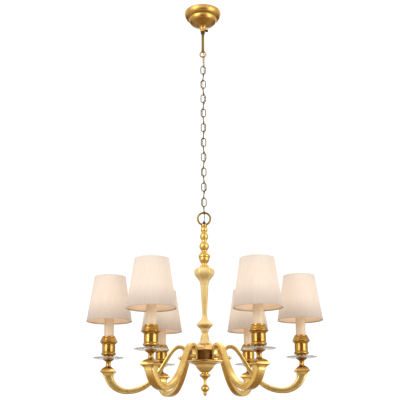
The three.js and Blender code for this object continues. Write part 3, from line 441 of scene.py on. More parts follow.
antique_brass = brass("antiqued_brass", "#74532b", "#49331b", 0.34, 0.6)
THUMB_SCREW_LEVEL = -61.4
knurls = []
for x, radius in ((4.8, 0.9), (5.2, 1.75), (8.3, 1.75), (8.3, 3.2), (8.9, 3.95), (12.4, 4.0), (16.2, 3.95),
                  (16.9, 3.3), (17.0, 0)):
    ridges = radius > 3.5
    ring = []
    for i, angle in enumerate(angles_round(48)):
        reach = radius - (0.35 if ridges and i % 3 == 0 else 0)
        ring.append((x, reach * math.cos(angle), THUMB_SCREW_LEVEL + reach * math.sin(angle)))
    knurls.append(ring if radius else [(x, 0, THUMB_SCREW_LEVEL)])
knurls.insert(0, [(4.8, 0, THUMB_SCREW_LEVEL)])
thumb_screw = as_piece("thumb_screw_knurled", skin(knurls), antique_brass)
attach(thumb_screw, "canopy_screw")
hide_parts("thumb_screw")


# ---- stem and its loop ----
# A polished brass tube, threaded into the bracket's boss, that the flex runs down.
# Its foot is brazed to a closed loop of round bar that carries the chain.
STEM_TOP, STEM_FOOT = -11.3, -137.2
LOOP_CENTRE, LOOP_RADIUS, LOOP_WIRE = -144.3, 9.3, 2.2


def loop_skin(centre, radius, wire):
    """A round bar bent into a closed ring that faces the front."""
    rings = []
    for around in angles_round(72):
        ring = []
        for about in angles_round(20):
            reach = radius + wire * math.cos(about)
            ring.append((reach * math.cos(around), wire * math.sin(about), centre + reach * math.sin(around)))
        rings.append(ring)
    return skin(rings, closed_on_itself=True)


tube = lathe_outline(
    (2.6, STEM_TOP), (4.2, STEM_TOP), (4.6, STEM_TOP - 0.6), (4.6, -130), [(5.4, -131.6), (5.8, -133.4),
    (5.5, -135.2), (4.4, -136.8)], (2.6, STEM_FOOT), (2.6, STEM_TOP))
aged_brass = brass("aged_bar_brass", "#a2864c", "#7c6232", 0.34, 0.4)
stem = as_piece("stem_tube", turned_shell(tube, round_section(40)), aged_brass)
loop = as_piece("stem_loop", loop_skin(LOOP_CENTRE, LOOP_RADIUS, LOOP_WIRE), polished_brass)
for piece in (stem, loop):
    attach(piece, "ceiling_end")
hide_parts("stem")


# ---- chain ----
# Oval links of round brass wire, butt-welded and antiqued, each a quarter turn from the one above.
# A longer connecting link hangs the chain from the stem's loop.
LINK_WIDTH, LINK_WIRE, LINK_PITCH, LINK_COUNT = 17.0, 2.8, 24.3, 20
LINK_BITE = 0.4
CONNECTOR_LENGTH = 35.3
CHAIN_START = -186.4


def link_tree():
    """Geometry Nodes for a run of links: a rounded wire oval laid down the run, every other one turned."""
    tree = bpy.data.node_groups.new("run of oval links", "GeometryNodeTree")
    for label, kind in (("Geometry", "NodeSocketGeometry"), ("Count", "NodeSocketInt"),
                        ("Pitch", "NodeSocketFloat"), ("Link Width", "NodeSocketFloat"),
                        ("Link Length", "NodeSocketFloat"), ("Wire", "NodeSocketFloat"),
                        ("First Centre", "NodeSocketFloat"), ("First Turn", "NodeSocketFloat"),
                        ("Finish", "NodeSocketMaterial")):
        tree.interface.new_socket(label, in_out="INPUT", socket_type=kind)
    tree.interface.new_socket("Geometry", in_out="OUTPUT", socket_type="NodeSocketGeometry")
    given = add_node(tree, "NodeGroupInput").outputs
    oval = add_node(tree, "GeometryNodeCurvePrimitiveQuadrilateral",
                    {"Width": given["Link Width"], "Height": given["Link Length"]})
    bend = add_node(tree, "ShaderNodeMath", {0: given["Link Width"], 1: 0.499}, operation="MULTIPLY")
    rounded = add_node(tree, "GeometryNodeFilletCurve",
                       {"Curve": oval.outputs[0], "Radius": bend.outputs[0], "Count": 7}, mode="POLY")
    bar_radius = add_node(tree, "ShaderNodeMath", {0: given["Wire"], 1: 0.5}, operation="MULTIPLY")
    bar = add_node(tree, "GeometryNodeCurvePrimitiveCircle",
        {"Resolution": 12, "Radius": bar_radius.outputs[0]})
    wire = add_node(tree, "GeometryNodeCurveToMesh",
        {"Curve": rounded.outputs[0], "Profile Curve": bar.outputs[0]})
    smooth = add_node(tree, "GeometryNodeSetShadeSmooth", {"Geometry": wire.outputs[0]})
    upright = add_node(tree, "GeometryNodeTransform",
                       {"Geometry": smooth.outputs[0], "Rotation": (math.pi / 2, 0, 0)})
    start = add_node(tree, "ShaderNodeCombineXYZ", {"Z": given["First Centre"]})
    down = add_node(tree, "ShaderNodeMath", {0: given["Pitch"], 1: -1.0}, operation="MULTIPLY")
    step = add_node(tree, "ShaderNodeCombineXYZ", {"Z": down.outputs[0]})
    run = add_node(tree, "GeometryNodeMeshLine",
                   {"Count": given["Count"], "Start Location": start.outputs[0], "Offset": step.outputs[0]})
    index = add_node(tree, "GeometryNodeInputIndex")
    quarter = add_node(tree, "ShaderNodeMath", {0: index.outputs[0], 1: math.pi / 2, 2: given["First Turn"]},
                       operation="MULTIPLY_ADD")
    turn = add_node(tree, "ShaderNodeCombineXYZ", {"Z": quarter.outputs[0]})
    links = add_node(tree, "GeometryNodeInstanceOnPoints",
                     {"Points": run.outputs[0], "Instance": upright.outputs[0], "Rotation": turn.outputs[0]})
    real = add_node(tree, "GeometryNodeRealizeInstances", {"Geometry": links.outputs[0]})
    finished = add_node(tree, "GeometryNodeSetMaterial",
        {"Geometry": real.outputs[0], "Material": given["Finish"]})
    add_node(tree, "NodeGroupOutput", {"Geometry": finished.outputs[0]})
    return tree


def run_of_links(name, **values):
    """A piece made by the link tree alone, from an empty mesh."""
    piece = in_scene(name, bpy.data.meshes.new(name))
    made_real(piece, LINKS, **values)
    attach(piece, "suspension")
    return piece


LINKS = link_tree()
across = (LINK_WIDTH - LINK_WIRE) * MM
first_centre = CHAIN_START - LINK_BITE - (LINK_PITCH - LINK_BITE) / 2
links = run_of_links("chain_links", **{
    "Count": LINK_COUNT, "Pitch": LINK_PITCH * MM, "Link Width": across, "Wire": LINK_WIRE * MM,
    "Link Length": (LINK_PITCH - LINK_BITE + LINK_WIRE) * MM, "First Centre": first_centre * MM,
    "First Turn": 0.0, "Finish": antique_brass})
run_of_links("connecting_link", **{"Count": 1, "Pitch": LINK_PITCH * MM, "Link Width": across,
    "Wire": LINK_WIRE * MM, "Link Length": (CONNECTOR_LENGTH + LINK_WIRE) * MM,
    "First Centre": (CHAIN_START + CONNECTOR_LENGTH / 2) * MM, "First Turn": math.pi / 2,
    "Finish": polished_brass})
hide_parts("chain")


# ---- flex ----
# Two-core lighting flex: copper strands in clear amber insulation, the cores twisted together.
# It drops down the stem, winds once round the chain for every four links, and goes in at the ring's cap.
FLEX_CORE, FLEX_TWIST = 0.85, 19.0
FLEX_SPACING, CORE_SIDES = 3.0, 10


def clear_insulation():
    """Clear PVC over stranded copper: golden strands that spiral under a glossy skin."""
    material, tree, shader = start_material("clear_pvc_over_copper", "#b08a46", 0.0, 0.22)
    wound = add_node(tree, "ShaderNodeUVMap", uv_map="wound")
    strands = add_node(tree, "ShaderNodeTexWave", {"Vector": wound.outputs[0], "Scale": 3.0,
        "Distortion": 0.6}, wave_type="BANDS", bands_direction="DIAGONAL")
    tint = add_node(tree, "ShaderNodeMix", {0: strands.outputs["Fac"], 6: linear("#5a3f1a"),
        7: linear("#a98544")}, data_type="RGBA")
    feed(shader, {"Base Color": tint.outputs[2], "Metallic": 0.45, "Coat Weight": 1.0,
        "Coat Roughness": 0.08})
    return material


def bowed(points, spacing):
    """Evenly spaced points on a smooth curve through the route's points."""
    fine = smooth_through(points, 12)
    even, owed = [fine[0]], spacing
    for a, b in zip(fine, fine[1:]):
        length = (b - a).length
        while owed < length:
            even.append(a.lerp(b, owed / length))
            owed += spacing
        owed -= length
    return [*even, fine[-1]]


flex_route = [Vector(p) for p in ((0, 0, -13), (0, 0, -68.6), (0, 0, -125.2), (0, 0, -135.2),
    (1.3, -1.4, -141.2), (3.5, -4.3, -146.3), (3.8, -4.7, -153.6), (3.5, -3.5, -168.8))]
for i in range(LINK_COUNT):
    for quarter in (-0.5, -0.25, 0, 0.25):
        angle = (i + quarter) * math.pi / 2
        reach = 3.1 + 1.6 * (1 - math.cos(4 * angle)) / 2
        flex_route.append(Vector((reach * math.cos(angle), reach * math.sin(angle),
                                  first_centre - (i + quarter) * LINK_PITCH)))
flex_route += [Vector(p) for p in ((3.5, -5.1, -668.1), (2.8, -5.1, -674.1), (1, -1.5, -688.1),
    (0, 0, -698.1), (0, 0, -708.3), (0, 0, -730.6))]
flex_line = bowed(flex_route, FLEX_SPACING)
middle = len(flex_line) // 2


def twisted_pair(name, points, first):
    """Two round cores twisted about each other along a stretch of the line."""
    shell = bmesh.new()
    wound = shell.loops.layers.uv.new("wound")
    side = Vector((1, 0, 0))
    frames = []
    for k, point in enumerate(points):
        along = (points[min(k + 1, len(points) - 1)] - points[max(k - 1, 0)]).normalized()
        side = (side - along * side.dot(along)).normalized()
        frames.append((point, side.copy(), along.cross(side), (first + k) * FLEX_SPACING))
    for core in (0, 1):
        rings = []
        for point, side, other, run in frames:
            turn = 2 * math.pi * run / FLEX_TWIST + core * math.pi
            centre = point + (side * math.cos(turn) + other * math.sin(turn)) * FLEX_CORE
            spokes = [side * math.cos(a) + other * math.sin(a) for a in angles_round(CORE_SIDES)]
            rings.append([shell.verts.new((centre + spoke * FLEX_CORE) * MM) for spoke in spokes])
        for k, (low, high) in enumerate(zip(rings, rings[1:])):
            for i in range(CORE_SIDES):
                j = (i + 1) % CORE_SIDES
                face = shell.faces.new((low[i], low[j], high[j], high[i]))
                for corner, (u, v) in zip(face.loops, ((i, k), (i + 1, k), (i + 1, k + 1), (i, k + 1))):
                    corner[wound].uv = (u / CORE_SIDES, v * FLEX_SPACING / 10)
        shell.faces.new(rings[0])
        shell.faces.new(rings[-1])
    bmesh.ops.recalc_face_normals(shell, faces=shell.faces)
    piece = as_piece(name, shell, insulation, 60)
    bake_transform(piece)
    return piece


insulation = clear_insulation()
upper_flex = twisted_pair("flex_upper", flex_line[:middle + 1], 0)
twisted_pair("flex_lower", flex_line[middle:], middle)
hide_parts("flex")


# ---- hanging ring and its cap ----
# A ring of round brass bar brazed to a short turned cap, which is screwed to the rod inside the baluster.
# A black bush in the top of the cap keeps the flex off the metal.
RING_CENTRE, RING_RADIUS, RING_WIRE = -688.1, 19.0, 3.0
CAP_TOP = -705.3

ring = as_piece("hanging_ring_bar", loop_skin(RING_CENTRE, RING_RADIUS, RING_WIRE), aged_brass)
cap_outline = lathe_outline(
    (2.6, CAP_TOP + 0.6), (4.6, CAP_TOP + 0.6), [(6.6, CAP_TOP - 0.4), (8.0, CAP_TOP - 1.8)],
    (9.0, CAP_TOP - 2.4), [(9.1, CAP_TOP - 4.4), (8.9, CAP_TOP - 6.4)], (8.2, CAP_TOP - 7.2),
    [(8.8, CAP_TOP - 8.2), (8.8, CAP_TOP - 9)], (2.6, CAP_TOP - 9), (2.6, CAP_TOP + 0.6))
ring_cap = as_piece("hanging_ring_cap", turned_shell(cap_outline, round_section(48)), polished_brass)
entry = lathe_outline(
    (1.7, CAP_TOP + 0.6), (4.4, CAP_TOP + 0.6), [(5.2, CAP_TOP + 1.6), (5.0, CAP_TOP + 4),
    (3.4, CAP_TOP + 8)], (2.8, CAP_TOP + 8.6), (1.7, CAP_TOP + 8.6), (1.7, CAP_TOP + 0.6))
flex_bush = as_piece("flex_entry_bush", turned_shell(entry, round_section(32)), black_nylon)
for piece, finish in ((ring, "antique_brass"), (ring_cap, "polished_brass"), (flex_bush, "antique_brass")):
    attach(piece, "frame")
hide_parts("hanging_ring")


# ---- baluster ----
# A turned and polished brass baluster in one piece, bored for the rod, with three egg-shaped beads and a
# stepped skirt. Lathe lines run round it, and painted shade makes it deeper in colour on its undersides.
BALUSTER_TOP = -714.6
soft_brass = brass("softly_polished_brass", "#eecb78", "#d6aa54", 0.28, 0.1, TURNED, 0.85)
baluster_outline = lathe_outline(
    (5.2, 0), (8.2, 0), [(8.6, -0.6), (8.3, -1.4)], [(9.4, -3.2), (10.3, -6), (10.4, -8.2), (9.9, -11),
    (8.6, -14)], [(7.9, -15.4), (7.8, -16.6), (8.2, -18)], [(10, -20.4), (11.6, -24), (12.2, -28.4),
    (11.7, -32.6), (10.2, -36.6), (8.7, -39.2)], [(8.1, -41), (8, -43), (8.5, -45.6)], [(10.6, -48.6),
    (13.2, -53), (14.4, -58.6), (13.6, -63.8), (11.4, -68.6), (9.2, -71.8)], [(8.6, -73.4), (8.7, -75.4),
    (9.6, -77.4)], [(12, -80.4), (15, -84.4), (16.9, -88), (17.4, -90.8), (16.9, -93.4), (16.2, -94.6)],
    (15.2, -95.4), [(15.1, -98), (14.6, -102), (13.2, -105.8), (10.8, -109.2), (8.6, -112)],
    [(8.1, -113.4), (8.4, -114.6)], [(8.5, -115.8), (8, -117)], (5.2, -117), (5.2, 0))
baluster = as_piece("baluster_turning", turned_shell(baluster_outline, round_section(64), BALUSTER_TOP),
                    soft_brass, 30)
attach(baluster, "frame")
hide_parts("baluster")


# ---- six-sided column ----
# A cast and hand-finished brass column with a flat face to the front: ring, urn, tapering shaft, collar and
# bell foot. The polishing belt left fine lines up its faces, and it has a thick matt lacquer.
def faceted_section(sides, first_angle, softness=0.05):
    """A polygon of corner radius 1 whose corners are rounded off, with a point close beside each rounding."""
    inner = math.pi * (sides - 2) / sides
    back = softness / math.tan(inner / 2)
    section = []
    for i in range(sides):
        angle = first_angle + 2 * math.pi * i / sides
        corner = Vector((math.cos(angle), math.sin(angle)))
        before = Vector((math.cos(angle - 2 * math.pi / sides), math.sin(angle - 2 * math.pi / sides)))
        after = Vector((math.cos(angle + 2 * math.pi / sides), math.sin(angle + 2 * math.pi / sides)))
        into, away = (before - corner).normalized(), (after - corner).normalized()
        middle = corner * (1 - softness / math.sin(inner / 2))
        spread = math.pi / 2 - inner / 2
        section.append(tuple(corner + into * back * 1.6))
        for k in range(5):
            at = angle - spread + 2 * spread * k / 4
            section.append((middle.x + softness * math.cos(at), middle.y + softness * math.sin(at)))
        section.append(tuple(corner + away * back * 1.6))
    return section


BRUSHED_UP = (1, 1, 0.08)
pale_brass = brass("matt_lacquered_cast_brass", "#ffe9ab", "#f6d58c", 0.4, 0.04, BRUSHED_UP, 0.8)
satin_brass = brass("satin_cast_brass", "#f6d68a", "#dbb562", 0.3, 0.14, BRUSHED_UP, 0.88)
FRONT_FACE = faceted_section(6, 0.0)
COLUMN_TOP = -831.9
column_outline = lathe_outline(
    (5.2, 0), (12.8, 0), [(13.6, -0.9), (13.7, -2.6), (13.3, -4.2)], (13.2, -5), [(17.5, -6.4),
    (23.5, -8.8), (28, -12.2), (30, -16.5), (30.5, -21), (30.2, -26.4)], [(29.9, -27.6), (29.3, -28.8)],
    [(28.2, -31), (25.6, -34.8), (22.8, -38.2), (19.4, -42.6), (16.6, -46.8), (14.5, -51.5), (13.2, -56),
    (12.4, -60.5), (11.9, -68), (10.9, -85), (9.8, -104), (8.6, -124), (7.6, -142), (7.2, -151)],
    [(7.8, -156), (10, -161.6), (13.6, -166.6), (18, -171.4), (21.6, -175.2)], [(23.7, -177),
    (24.4, -179.2), (23.7, -181.4)], [(21.2, -184.4), (17.4, -187.6), (14, -191.4), (12.6, -195.6),
    (11, -200), (9.5, -203)], [(8.9, -204.4), (9.1, -206)], [(10.4, -209.4), (11.9, -214.6),
    (12.8, -220), (13.8, -225.4)], [(15.2, -228.4), (18.4, -232), (21.5, -235)], (21.5, -236),
    (5.2, -236), (5.2, 0))
column = as_piece("column_casting", turned_shell(column_outline, FRONT_FACE, COLUMN_TOP), pale_brass)
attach(column, "frame")
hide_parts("column")


# ---- hub, its base plate and the bowl beneath ----
# A six-sided brass drum with an edge to the front, under a sloping roof, on a wider plate.
# One arm bolts to each of its faces, which are painted dark brown: a painted dark reflection.
# A six-sided bowl closes it below.
FRONT_EDGE = faceted_section(6, -math.pi / 2)
HUB_CORNER = 50 / math.cos(math.pi / 6)
HUB_TOP = -1068.2
PLATE_TOP = -1117.2
hub_outline = lathe_outline(
    (5.2, 0), (22.4, 0), [(24, -1), (25.4, -2.4)], [(34, -5.4), (43.4, -10), (50.6, -15.4), (54.6, -19)],
    (HUB_CORNER, -20), (HUB_CORNER, -49), (61.2, -49), [(62, -50), (62, -52), (61.2, -53)], (5.2, -53),
    (5.2, 0))
hub = as_piece("hub_drum", turned_shell(hub_outline, FRONT_EDGE, HUB_TOP), polished_brass, 30)
# Painted dark reflection: the drum's upright outer faces are given a deep brown brass colour.
painted_reflection_brass = brass("brass_painted_dark_reflection", "#7d5a30", "#57391c", 0.36, 0.6)
hub.data.materials.append(painted_reflection_brass)
for face in hub.data.polygons:
    upright, outside = abs(face.normal.z) < 0.1, face.center.xy.length > 40 * MM
    if upright and outside and face.center.z > (PLATE_TOP + 0.5) * MM:
        face.material_index = 1
BOWL_TOP = -1121.5
bowl_outline = lathe_outline(
    (5.2, 0), (44.4, 0), [(45, -0.7), (44.8, -1.8)], (38.4, -3.4), [(34, -5.6), (31.2, -9), (29, -13),
    (25.5, -17.4), (20.6, -22), (15.8, -25.8), (11.8, -27.6)], (10.6, -28), (5.2, -28), (5.2, 0))
bowl = as_piece("hub_bowl", turned_shell(bowl_outline, FRONT_EDGE, BOWL_TOP), pale_brass, 30)
for piece, node, finish in ((hub, "hub", "polished_brass"), (bowl, "bowl", "satin_brass")):
    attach(piece, "frame")
    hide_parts(node)


# ---- finial ----
# A turned brass drop screwed on below the bowl: a knob, a thin stem, a ball and a blunt tip.
FINIAL_TOP = -1149.8
finial_outline = lathe_outline(
    (0, 14), (4.1, 14), (4.1, 0), (9.4, 0), [(9.8, -1.4), (9.6, -3)], [(12.2, -4.2), (15, -5.8),
    (16, -8.2), (15.2, -10.8), (13.2, -12.8)], [(10.4, -14.2), (8.2, -16.4), (5.6, -19.4), (4.4, -23),
    (4, -27), (4, -32), (4.6, -35.4)], [(7.2, -37.6), (10.6, -41.4), (12, -46), (11.2, -50.2),
    (8, -53.6)], [(5.8, -54.8), (5.1, -56)], [(5.6, -57.8), (5.4, -60.4), (4.6, -63.6), (3, -66),
    (0, -67)])
finial = as_piece("finial_turning", turned_shell(finial_outline, round_section(56), FINIAL_TOP),
                  soft_brass, 30)
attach(finial, "frame")
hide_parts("finial")


# ---- the six arms ----
# Swan-neck arms cast in brass and fettled to a cushioned square, bolted to the hub's faces with acorn nuts.
# The outer end turns up into a hollow-sided plate under a four-sided dome. Only the dome is polished, and the
# rest is satin. Levels at the lamps are measured from where the glass drip pans sit.
ARM_COUNT = 6
PAN_LEVEL = -1110.0
ARM_REACH, ARM_END_DROP, ARM_CREST, ARM_DIP = 281, 31, 41.5, 85.5
FLARE_START = 150
HUB_FACE = 50.3


def bezier(a, b, c, d, steps):
    """The points of a cubic curve after its first one, each with its share of the way along."""
    a, b, c, d = (Vector(p) for p in (a, b, c, d))
    for k in range(1, steps + 1):
        t = k / steps
        yield (1 - t) ** 3 * a + 3 * (1 - t) ** 2 * t * b + 3 * (1 - t) * t * t * c + t ** 3 * d, t


def cushioned_square(wide, thick, crispness=5.0, sides=40):
    """A rectangle about the origin with rounded corners and slightly swelling sides."""
    section = []
    for i in range(sides):
        angle = 2 * math.pi * (i + 0.5) / sides
        x, y = math.cos(angle), math.sin(angle)
        reach = (abs(2 * x / wide) ** crispness + abs(2 * y / thick) ** crispness) ** (-1 / crispness)
        section.append(Vector((x, y)) * reach)
    return section


ARM_THICK = 11.0
leg = HUB_FACE + ARM_THICK / 2
crest = leg + 18
dip = ARM_REACH - 57
leg_top = ARM_CREST - 22
arm_end = -ARM_END_DROP + 1.3
centre_line = [(Vector((leg, level)), ARM_THICK) for level in (0.3, 6.0, leg_top)]
centre_line += [(p, ARM_THICK) for p, t in bezier((leg, leg_top), (leg, ARM_CREST - 8),
    (crest - 10, ARM_CREST), (crest, ARM_CREST), 14)]
for p, t in bezier((crest, ARM_CREST), (crest + 39, ARM_CREST), (dip - 98, -ARM_DIP), (dip, -ARM_DIP), 44):
    ease = max(0.0, 1.6 * t - 0.6)
    centre_line.append((p, ARM_THICK + 5 * ease * ease * (3 - 2 * ease)))
for p, t in bezier((dip, -ARM_DIP), (dip + 31, -ARM_DIP),
                   (ARM_REACH, arm_end - 31), (ARM_REACH, arm_end), 24):
    centre_line.append((p, 16 + 10 * t))

rings = []
for k, (point, thick) in enumerate(centre_line):
    along = (centre_line[min(k + 1, len(centre_line) - 1)][0] - centre_line[max(k - 1, 0)][0]).normalized()
    across_arm = Vector((-along.y, along.x))
    flare = min(1.0, max(0.0, (point.x - FLARE_START) / (ARM_REACH - FLARE_START)))
    wide = 17 + 11 * flare
    rings.append([(point.x + across_arm.x * v, u, PLATE_TOP + point.y + across_arm.y * v)
                  for u, v in cushioned_square(wide, thick)])
arm_shell = skin(rings, capped=True)


def add_to(shell, other):
    """Moves a second closed shell into the first."""
    mesh = bpy.data.meshes.new("part")
    other.to_mesh(mesh)
    other.free()
    shell.from_mesh(mesh)
    bpy.data.meshes.remove(mesh)


def hollow_square(half, hollow, steps=12, edge=0.8):
    """A square whose sides curve inwards between slightly blunted corners."""
    section = []
    for i in range(4):
        turn = Matrix.Rotation(i * math.pi / 2, 2)
        section.append(turn @ Vector((half, -half + edge)))
        for k in range(1, steps):
            t = k / steps
            section.append(turn @ Vector((half - hollow * math.sin(math.pi * t) ** 0.9,
                                          -half + edge + (2 * half - 2 * edge) * t)))
        section.append(turn @ Vector((half, half - edge)))
    return section


# A cove spreads the arm's cushioned section out to the sharp plate, and a four-sided dome stands on it.
COVE_HALF, COVE_SPREAD = 14.3, 5.9
cove = []
for half, level, cushion in (
        (COVE_HALF, -52, 1), (COVE_HALF, -49.4, 1), (14.5, -46.6, 0.8), (15.2, -44, 0.5),
        (16.4, -41.8, 0.25), (18, -39.8, 0.1), (19.6, -38.7, 0), (20.2, -38.2, 0)):
    ring = []
    for p in hollow_square(half, 2.3 * (half - COVE_HALF) / COVE_SPREAD):
        eased = p * (abs(p.x / half) ** 5 + abs(p.y / half) ** 5) ** -0.2
        p = p.lerp(eased, cushion)
        ring.append((ARM_REACH - 1.2 * cushion + p.x, p.y, PAN_LEVEL + level))
    cove.append(ring)
add_to(arm_shell, skin(cove, capped=True))

plate = []
for half, level in ((20.2, -38.3), (21, -38), (21.4, -37.3), (21.5, -36.2), (21.4, -35.2), (21, -34.5),
                    (20.2, -34.2)):
    plate.append([(ARM_REACH + p.x, p.y, PAN_LEVEL + level) for p in hollow_square(half, 2.4)])
add_to(arm_shell, skin(plate, capped=True))

cap = []
for half, level in ((18.6, -34.4), (18.5, -33.1), (17.9, -31.3), (17, -29.6), (15.3, -27.3), (13, -25.5),
                    (10.4, -23.9), (8.9, -23), (8.4, -22.6)):
    cap.append([(ARM_REACH + p.x, p.y, PAN_LEVEL + level) for p in hollow_square(half, 0.4 + half * 0.06)])
add_to(arm_shell, skin(cap, capped=True))

# The acorn nut on its washer, on the outer side of the leg.
nut_seat, nut_level = HUB_FACE + 11, PLATE_TOP + 9
nut = []
for reach, radius in ((-1, 0), (-1, 7), (1.2, 7), (1.2, 6.4), (1.4, 6.0), (1.8, 6.4), (6.6, 6.4), (7.4, 6.0),
                      (7.5, 5.2), (9.6, 5.6), (12.0, 5.2), (14.4, 4.0), (16.2, 2.2), (17, 0)):
    six = 1.4 < reach < 7.5
    ring = []
    for angle in angles_round(36):
        from_flat = (angle + math.pi / 6) % (math.pi / 3) - math.pi / 6
        true = radius * (0.87 / math.cos(from_flat) if six else 0.96)
        ring.append((nut_seat + reach, true * math.cos(angle), nut_level + true * math.sin(angle)))
    nut.append(ring if radius else [(nut_seat + reach, 0, nut_level)])
add_to(arm_shell, skin(nut))

arms = as_piece("arm_castings", arm_shell, satin_brass, 33)
around_axis = repeat_tree("one for each arm", ARM_COUNT, turn=(0, 0, 2 * math.pi / ARM_COUNT))
made_real(arms, around_axis, Finish=satin_brass)
arms.data.materials.append(polished_brass)
DOME_FOOT = -34.3
for face in arms.data.polygons:
    level = face.center.z / MM - PAN_LEVEL
    if face.center.xy.length > (ARM_REACH - 24) * MM and level > DOME_FOOT:
        face.material_index = 1
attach(arms, "frame")
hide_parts(*[f"arm_{n}" for n in range(1, ARM_COUNT + 1)])


# ---- spools under the drip pans ----
# Turned brass spools that screw on to the arms' caps; each spreads into a dish that the drip pan rests on.
def at_each_arm(name, outline, sides, material, foot=0, crisp=30):
    """Turns an outline above the end of the first arm, then repeats it for all six."""
    shell = turned_shell(outline, round_section(sides), PAN_LEVEL + foot, ARM_REACH)
    pieces = as_piece(name, shell, material, crisp)
    made_real(pieces, around_axis, Finish=material)
    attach(pieces, "frame")
    return pieces


spool_outline = lathe_outline(
    (0, -22.3), (8, -22.3), [(8.3, -21.6), (7.9, -20.8)], [(7, -19), (6.6, -16.4), (6.6, -12.4),
    (7.2, -9), (8.8, -6.8), (11.4, -5.1), (14.2, -3.2)], [(15.5, -2.5), (16, -1.6), (15.8, -0.8)],
    (15.2, -0.3), (5.2, -0.3), (5.2, 2.2), (0, 2.2))
spools = at_each_arm("spool_turnings", spool_outline, 48, polished_brass)
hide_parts(*[f"spool_{n}" for n in range(1, ARM_COUNT + 1)])


# ---- glass drip pans ----
# Shallow dishes of clear pressed glass with a ground and polished rim.
# Each is held between a spool and a candle cup.
def pressed_glass():
    """Clear soda glass: faintly warm, with the soft waviness of pressing."""
    material, tree, shader = start_material("clear_pressed_glass", "#f1ece6", 0.0, 0.04)
    place = add_node(tree, "ShaderNodeTexCoord")
    waves = add_node(tree, "ShaderNodeTexNoise", {"Vector": place.outputs["Object"], "Scale": 1 / (14 * MM)})
    relief = add_node(tree, "ShaderNodeBump", {"Height": waves.outputs["Fac"], "Strength": 0.15,
                                               "Distance": 0.5 * MM})
    film = add_node(tree, "ShaderNodeMapRange", {"Value": waves.outputs["Fac"], "To Min": 0.03,
        "To Max": 0.09})
    feed(shader, {"IOR": 1.5, "Transmission Weight": 0.82, "Normal": relief.outputs[0],
        "Roughness": film.outputs[0]})
    return material


clear_glass = pressed_glass()
pan_outline = lathe_outline(
    (5.6, 0), (22, 0), [(30, 0.2), (38, 0.9), (42.8, 2)], [(44.2, 2.6), (44.5, 3.3), (44.1, 4.1),
    (43.2, 4.2)], [(41.6, 3.8), (37.6, 3), (30, 2.4), (22, 2.2)], (5.6, 2.2), (5.6, 0))
pans = at_each_arm("glass_drip_pans", pan_outline, 72, clear_glass)
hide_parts(*[f"drip_pan_{n}" for n in range(1, ARM_COUNT + 1)])


# ---- candle cups ----
# Deep spun brass cups, polished and lacquered: a foot ring, a bead, a straight waist, and a flared flange
# under a domed lip.
cup_outline = lathe_outline(
    (0, 0), (12.6, 0), [(13.3, 0.5), (13.4, 1.4)], (13.4, 6), (16, 7.2), [(18.6, 8), (20.6, 9.8),
    (21.4, 12), (20.8, 14.4), (19.2, 16.2)], (18.4, 16.9), (19, 18), (19, 37), (18.3, 38), (18.3, 39),
    [(19.4, 40), (20.8, 41.9), (23, 44.4), (25.4, 45.8)], [(26, 46.3), (26, 47.2)], [(25, 48.6),
    (23.4, 52), (21.4, 57), (19.8, 60.4)], (18.9, 60.9), (18.9, 62.6), [(18.4, 63.7), (17.4, 64)],
    (15.2, 64), (14.6, 63.4), (14.5, 24), (0, 24))
CUP_FOOT = 2.5
cups = at_each_arm("candle_cup_spinnings", cup_outline, 72, polished_brass, foot=CUP_FOOT, crisp=26)
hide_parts(*[f"candle_cup_{n}" for n in range(1, ARM_COUNT + 1)])


# ---- candle sleeves ----
# Card candle tubes finished in ivory lacquer, which stand in the cups and hide the lamp holders.
def ivory_lacquer():
    """Ivory lacquer on card: an eggshell gloss with soft streaks up the tube and a little yellowing."""
    material, tree, shader = start_material("ivory_lacquered_card", "#e4d3b9", 0.0, 0.42)
    place = add_node(tree, "ShaderNodeTexCoord")
    stretch = add_node(tree, "ShaderNodeMapping", {"Vector": place.outputs["Object"], "Scale": (1, 1, 0.06)})
    streaks = add_node(tree, "ShaderNodeTexNoise", {"Vector": stretch.outputs[0], "Scale": 1 / (4 * MM)})
    tint = add_node(tree, "ShaderNodeMix", {0: streaks.outputs["Fac"], 6: linear("#ead9bf"),
        7: linear("#dac5a5")}, data_type="RGBA")
    skin_grain = add_node(tree, "ShaderNodeTexNoise",
        {"Vector": place.outputs["Object"], "Scale": 1 / (1.2 * MM)})
    relief = add_node(tree, "ShaderNodeBump", {"Height": skin_grain.outputs["Fac"], "Strength": 0.12,
                                               "Distance": 0.15 * MM})
    gloss = add_node(tree, "ShaderNodeMapRange", {"Value": streaks.outputs["Fac"], "To Min": 0.34,
        "To Max": 0.5})
    feed(shader, {"Base Color": tint.outputs[2], "Normal": relief.outputs[0], "Roughness": gloss.outputs[0]})
    return material


ivory = ivory_lacquer()
SLEEVE_FOOT, SLEEVE_TOP = 26.8, 144.8
sleeve_outline = lathe_outline(
    (14.0, SLEEVE_FOOT), (14.2, SLEEVE_FOOT + 0.3), (14.2, SLEEVE_TOP - 0.8), [(14.0, SLEEVE_TOP - 0.2),
    (13.6, SLEEVE_TOP)], (13.1, SLEEVE_TOP), (13.1, SLEEVE_FOOT), (14.0, SLEEVE_FOOT))
sleeves = at_each_arm("ivory_candle_sleeves", sleeve_outline, 56, ivory)
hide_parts(*[f"candle_sleeve_{n}" for n in range(1, ARM_COUNT + 1)])


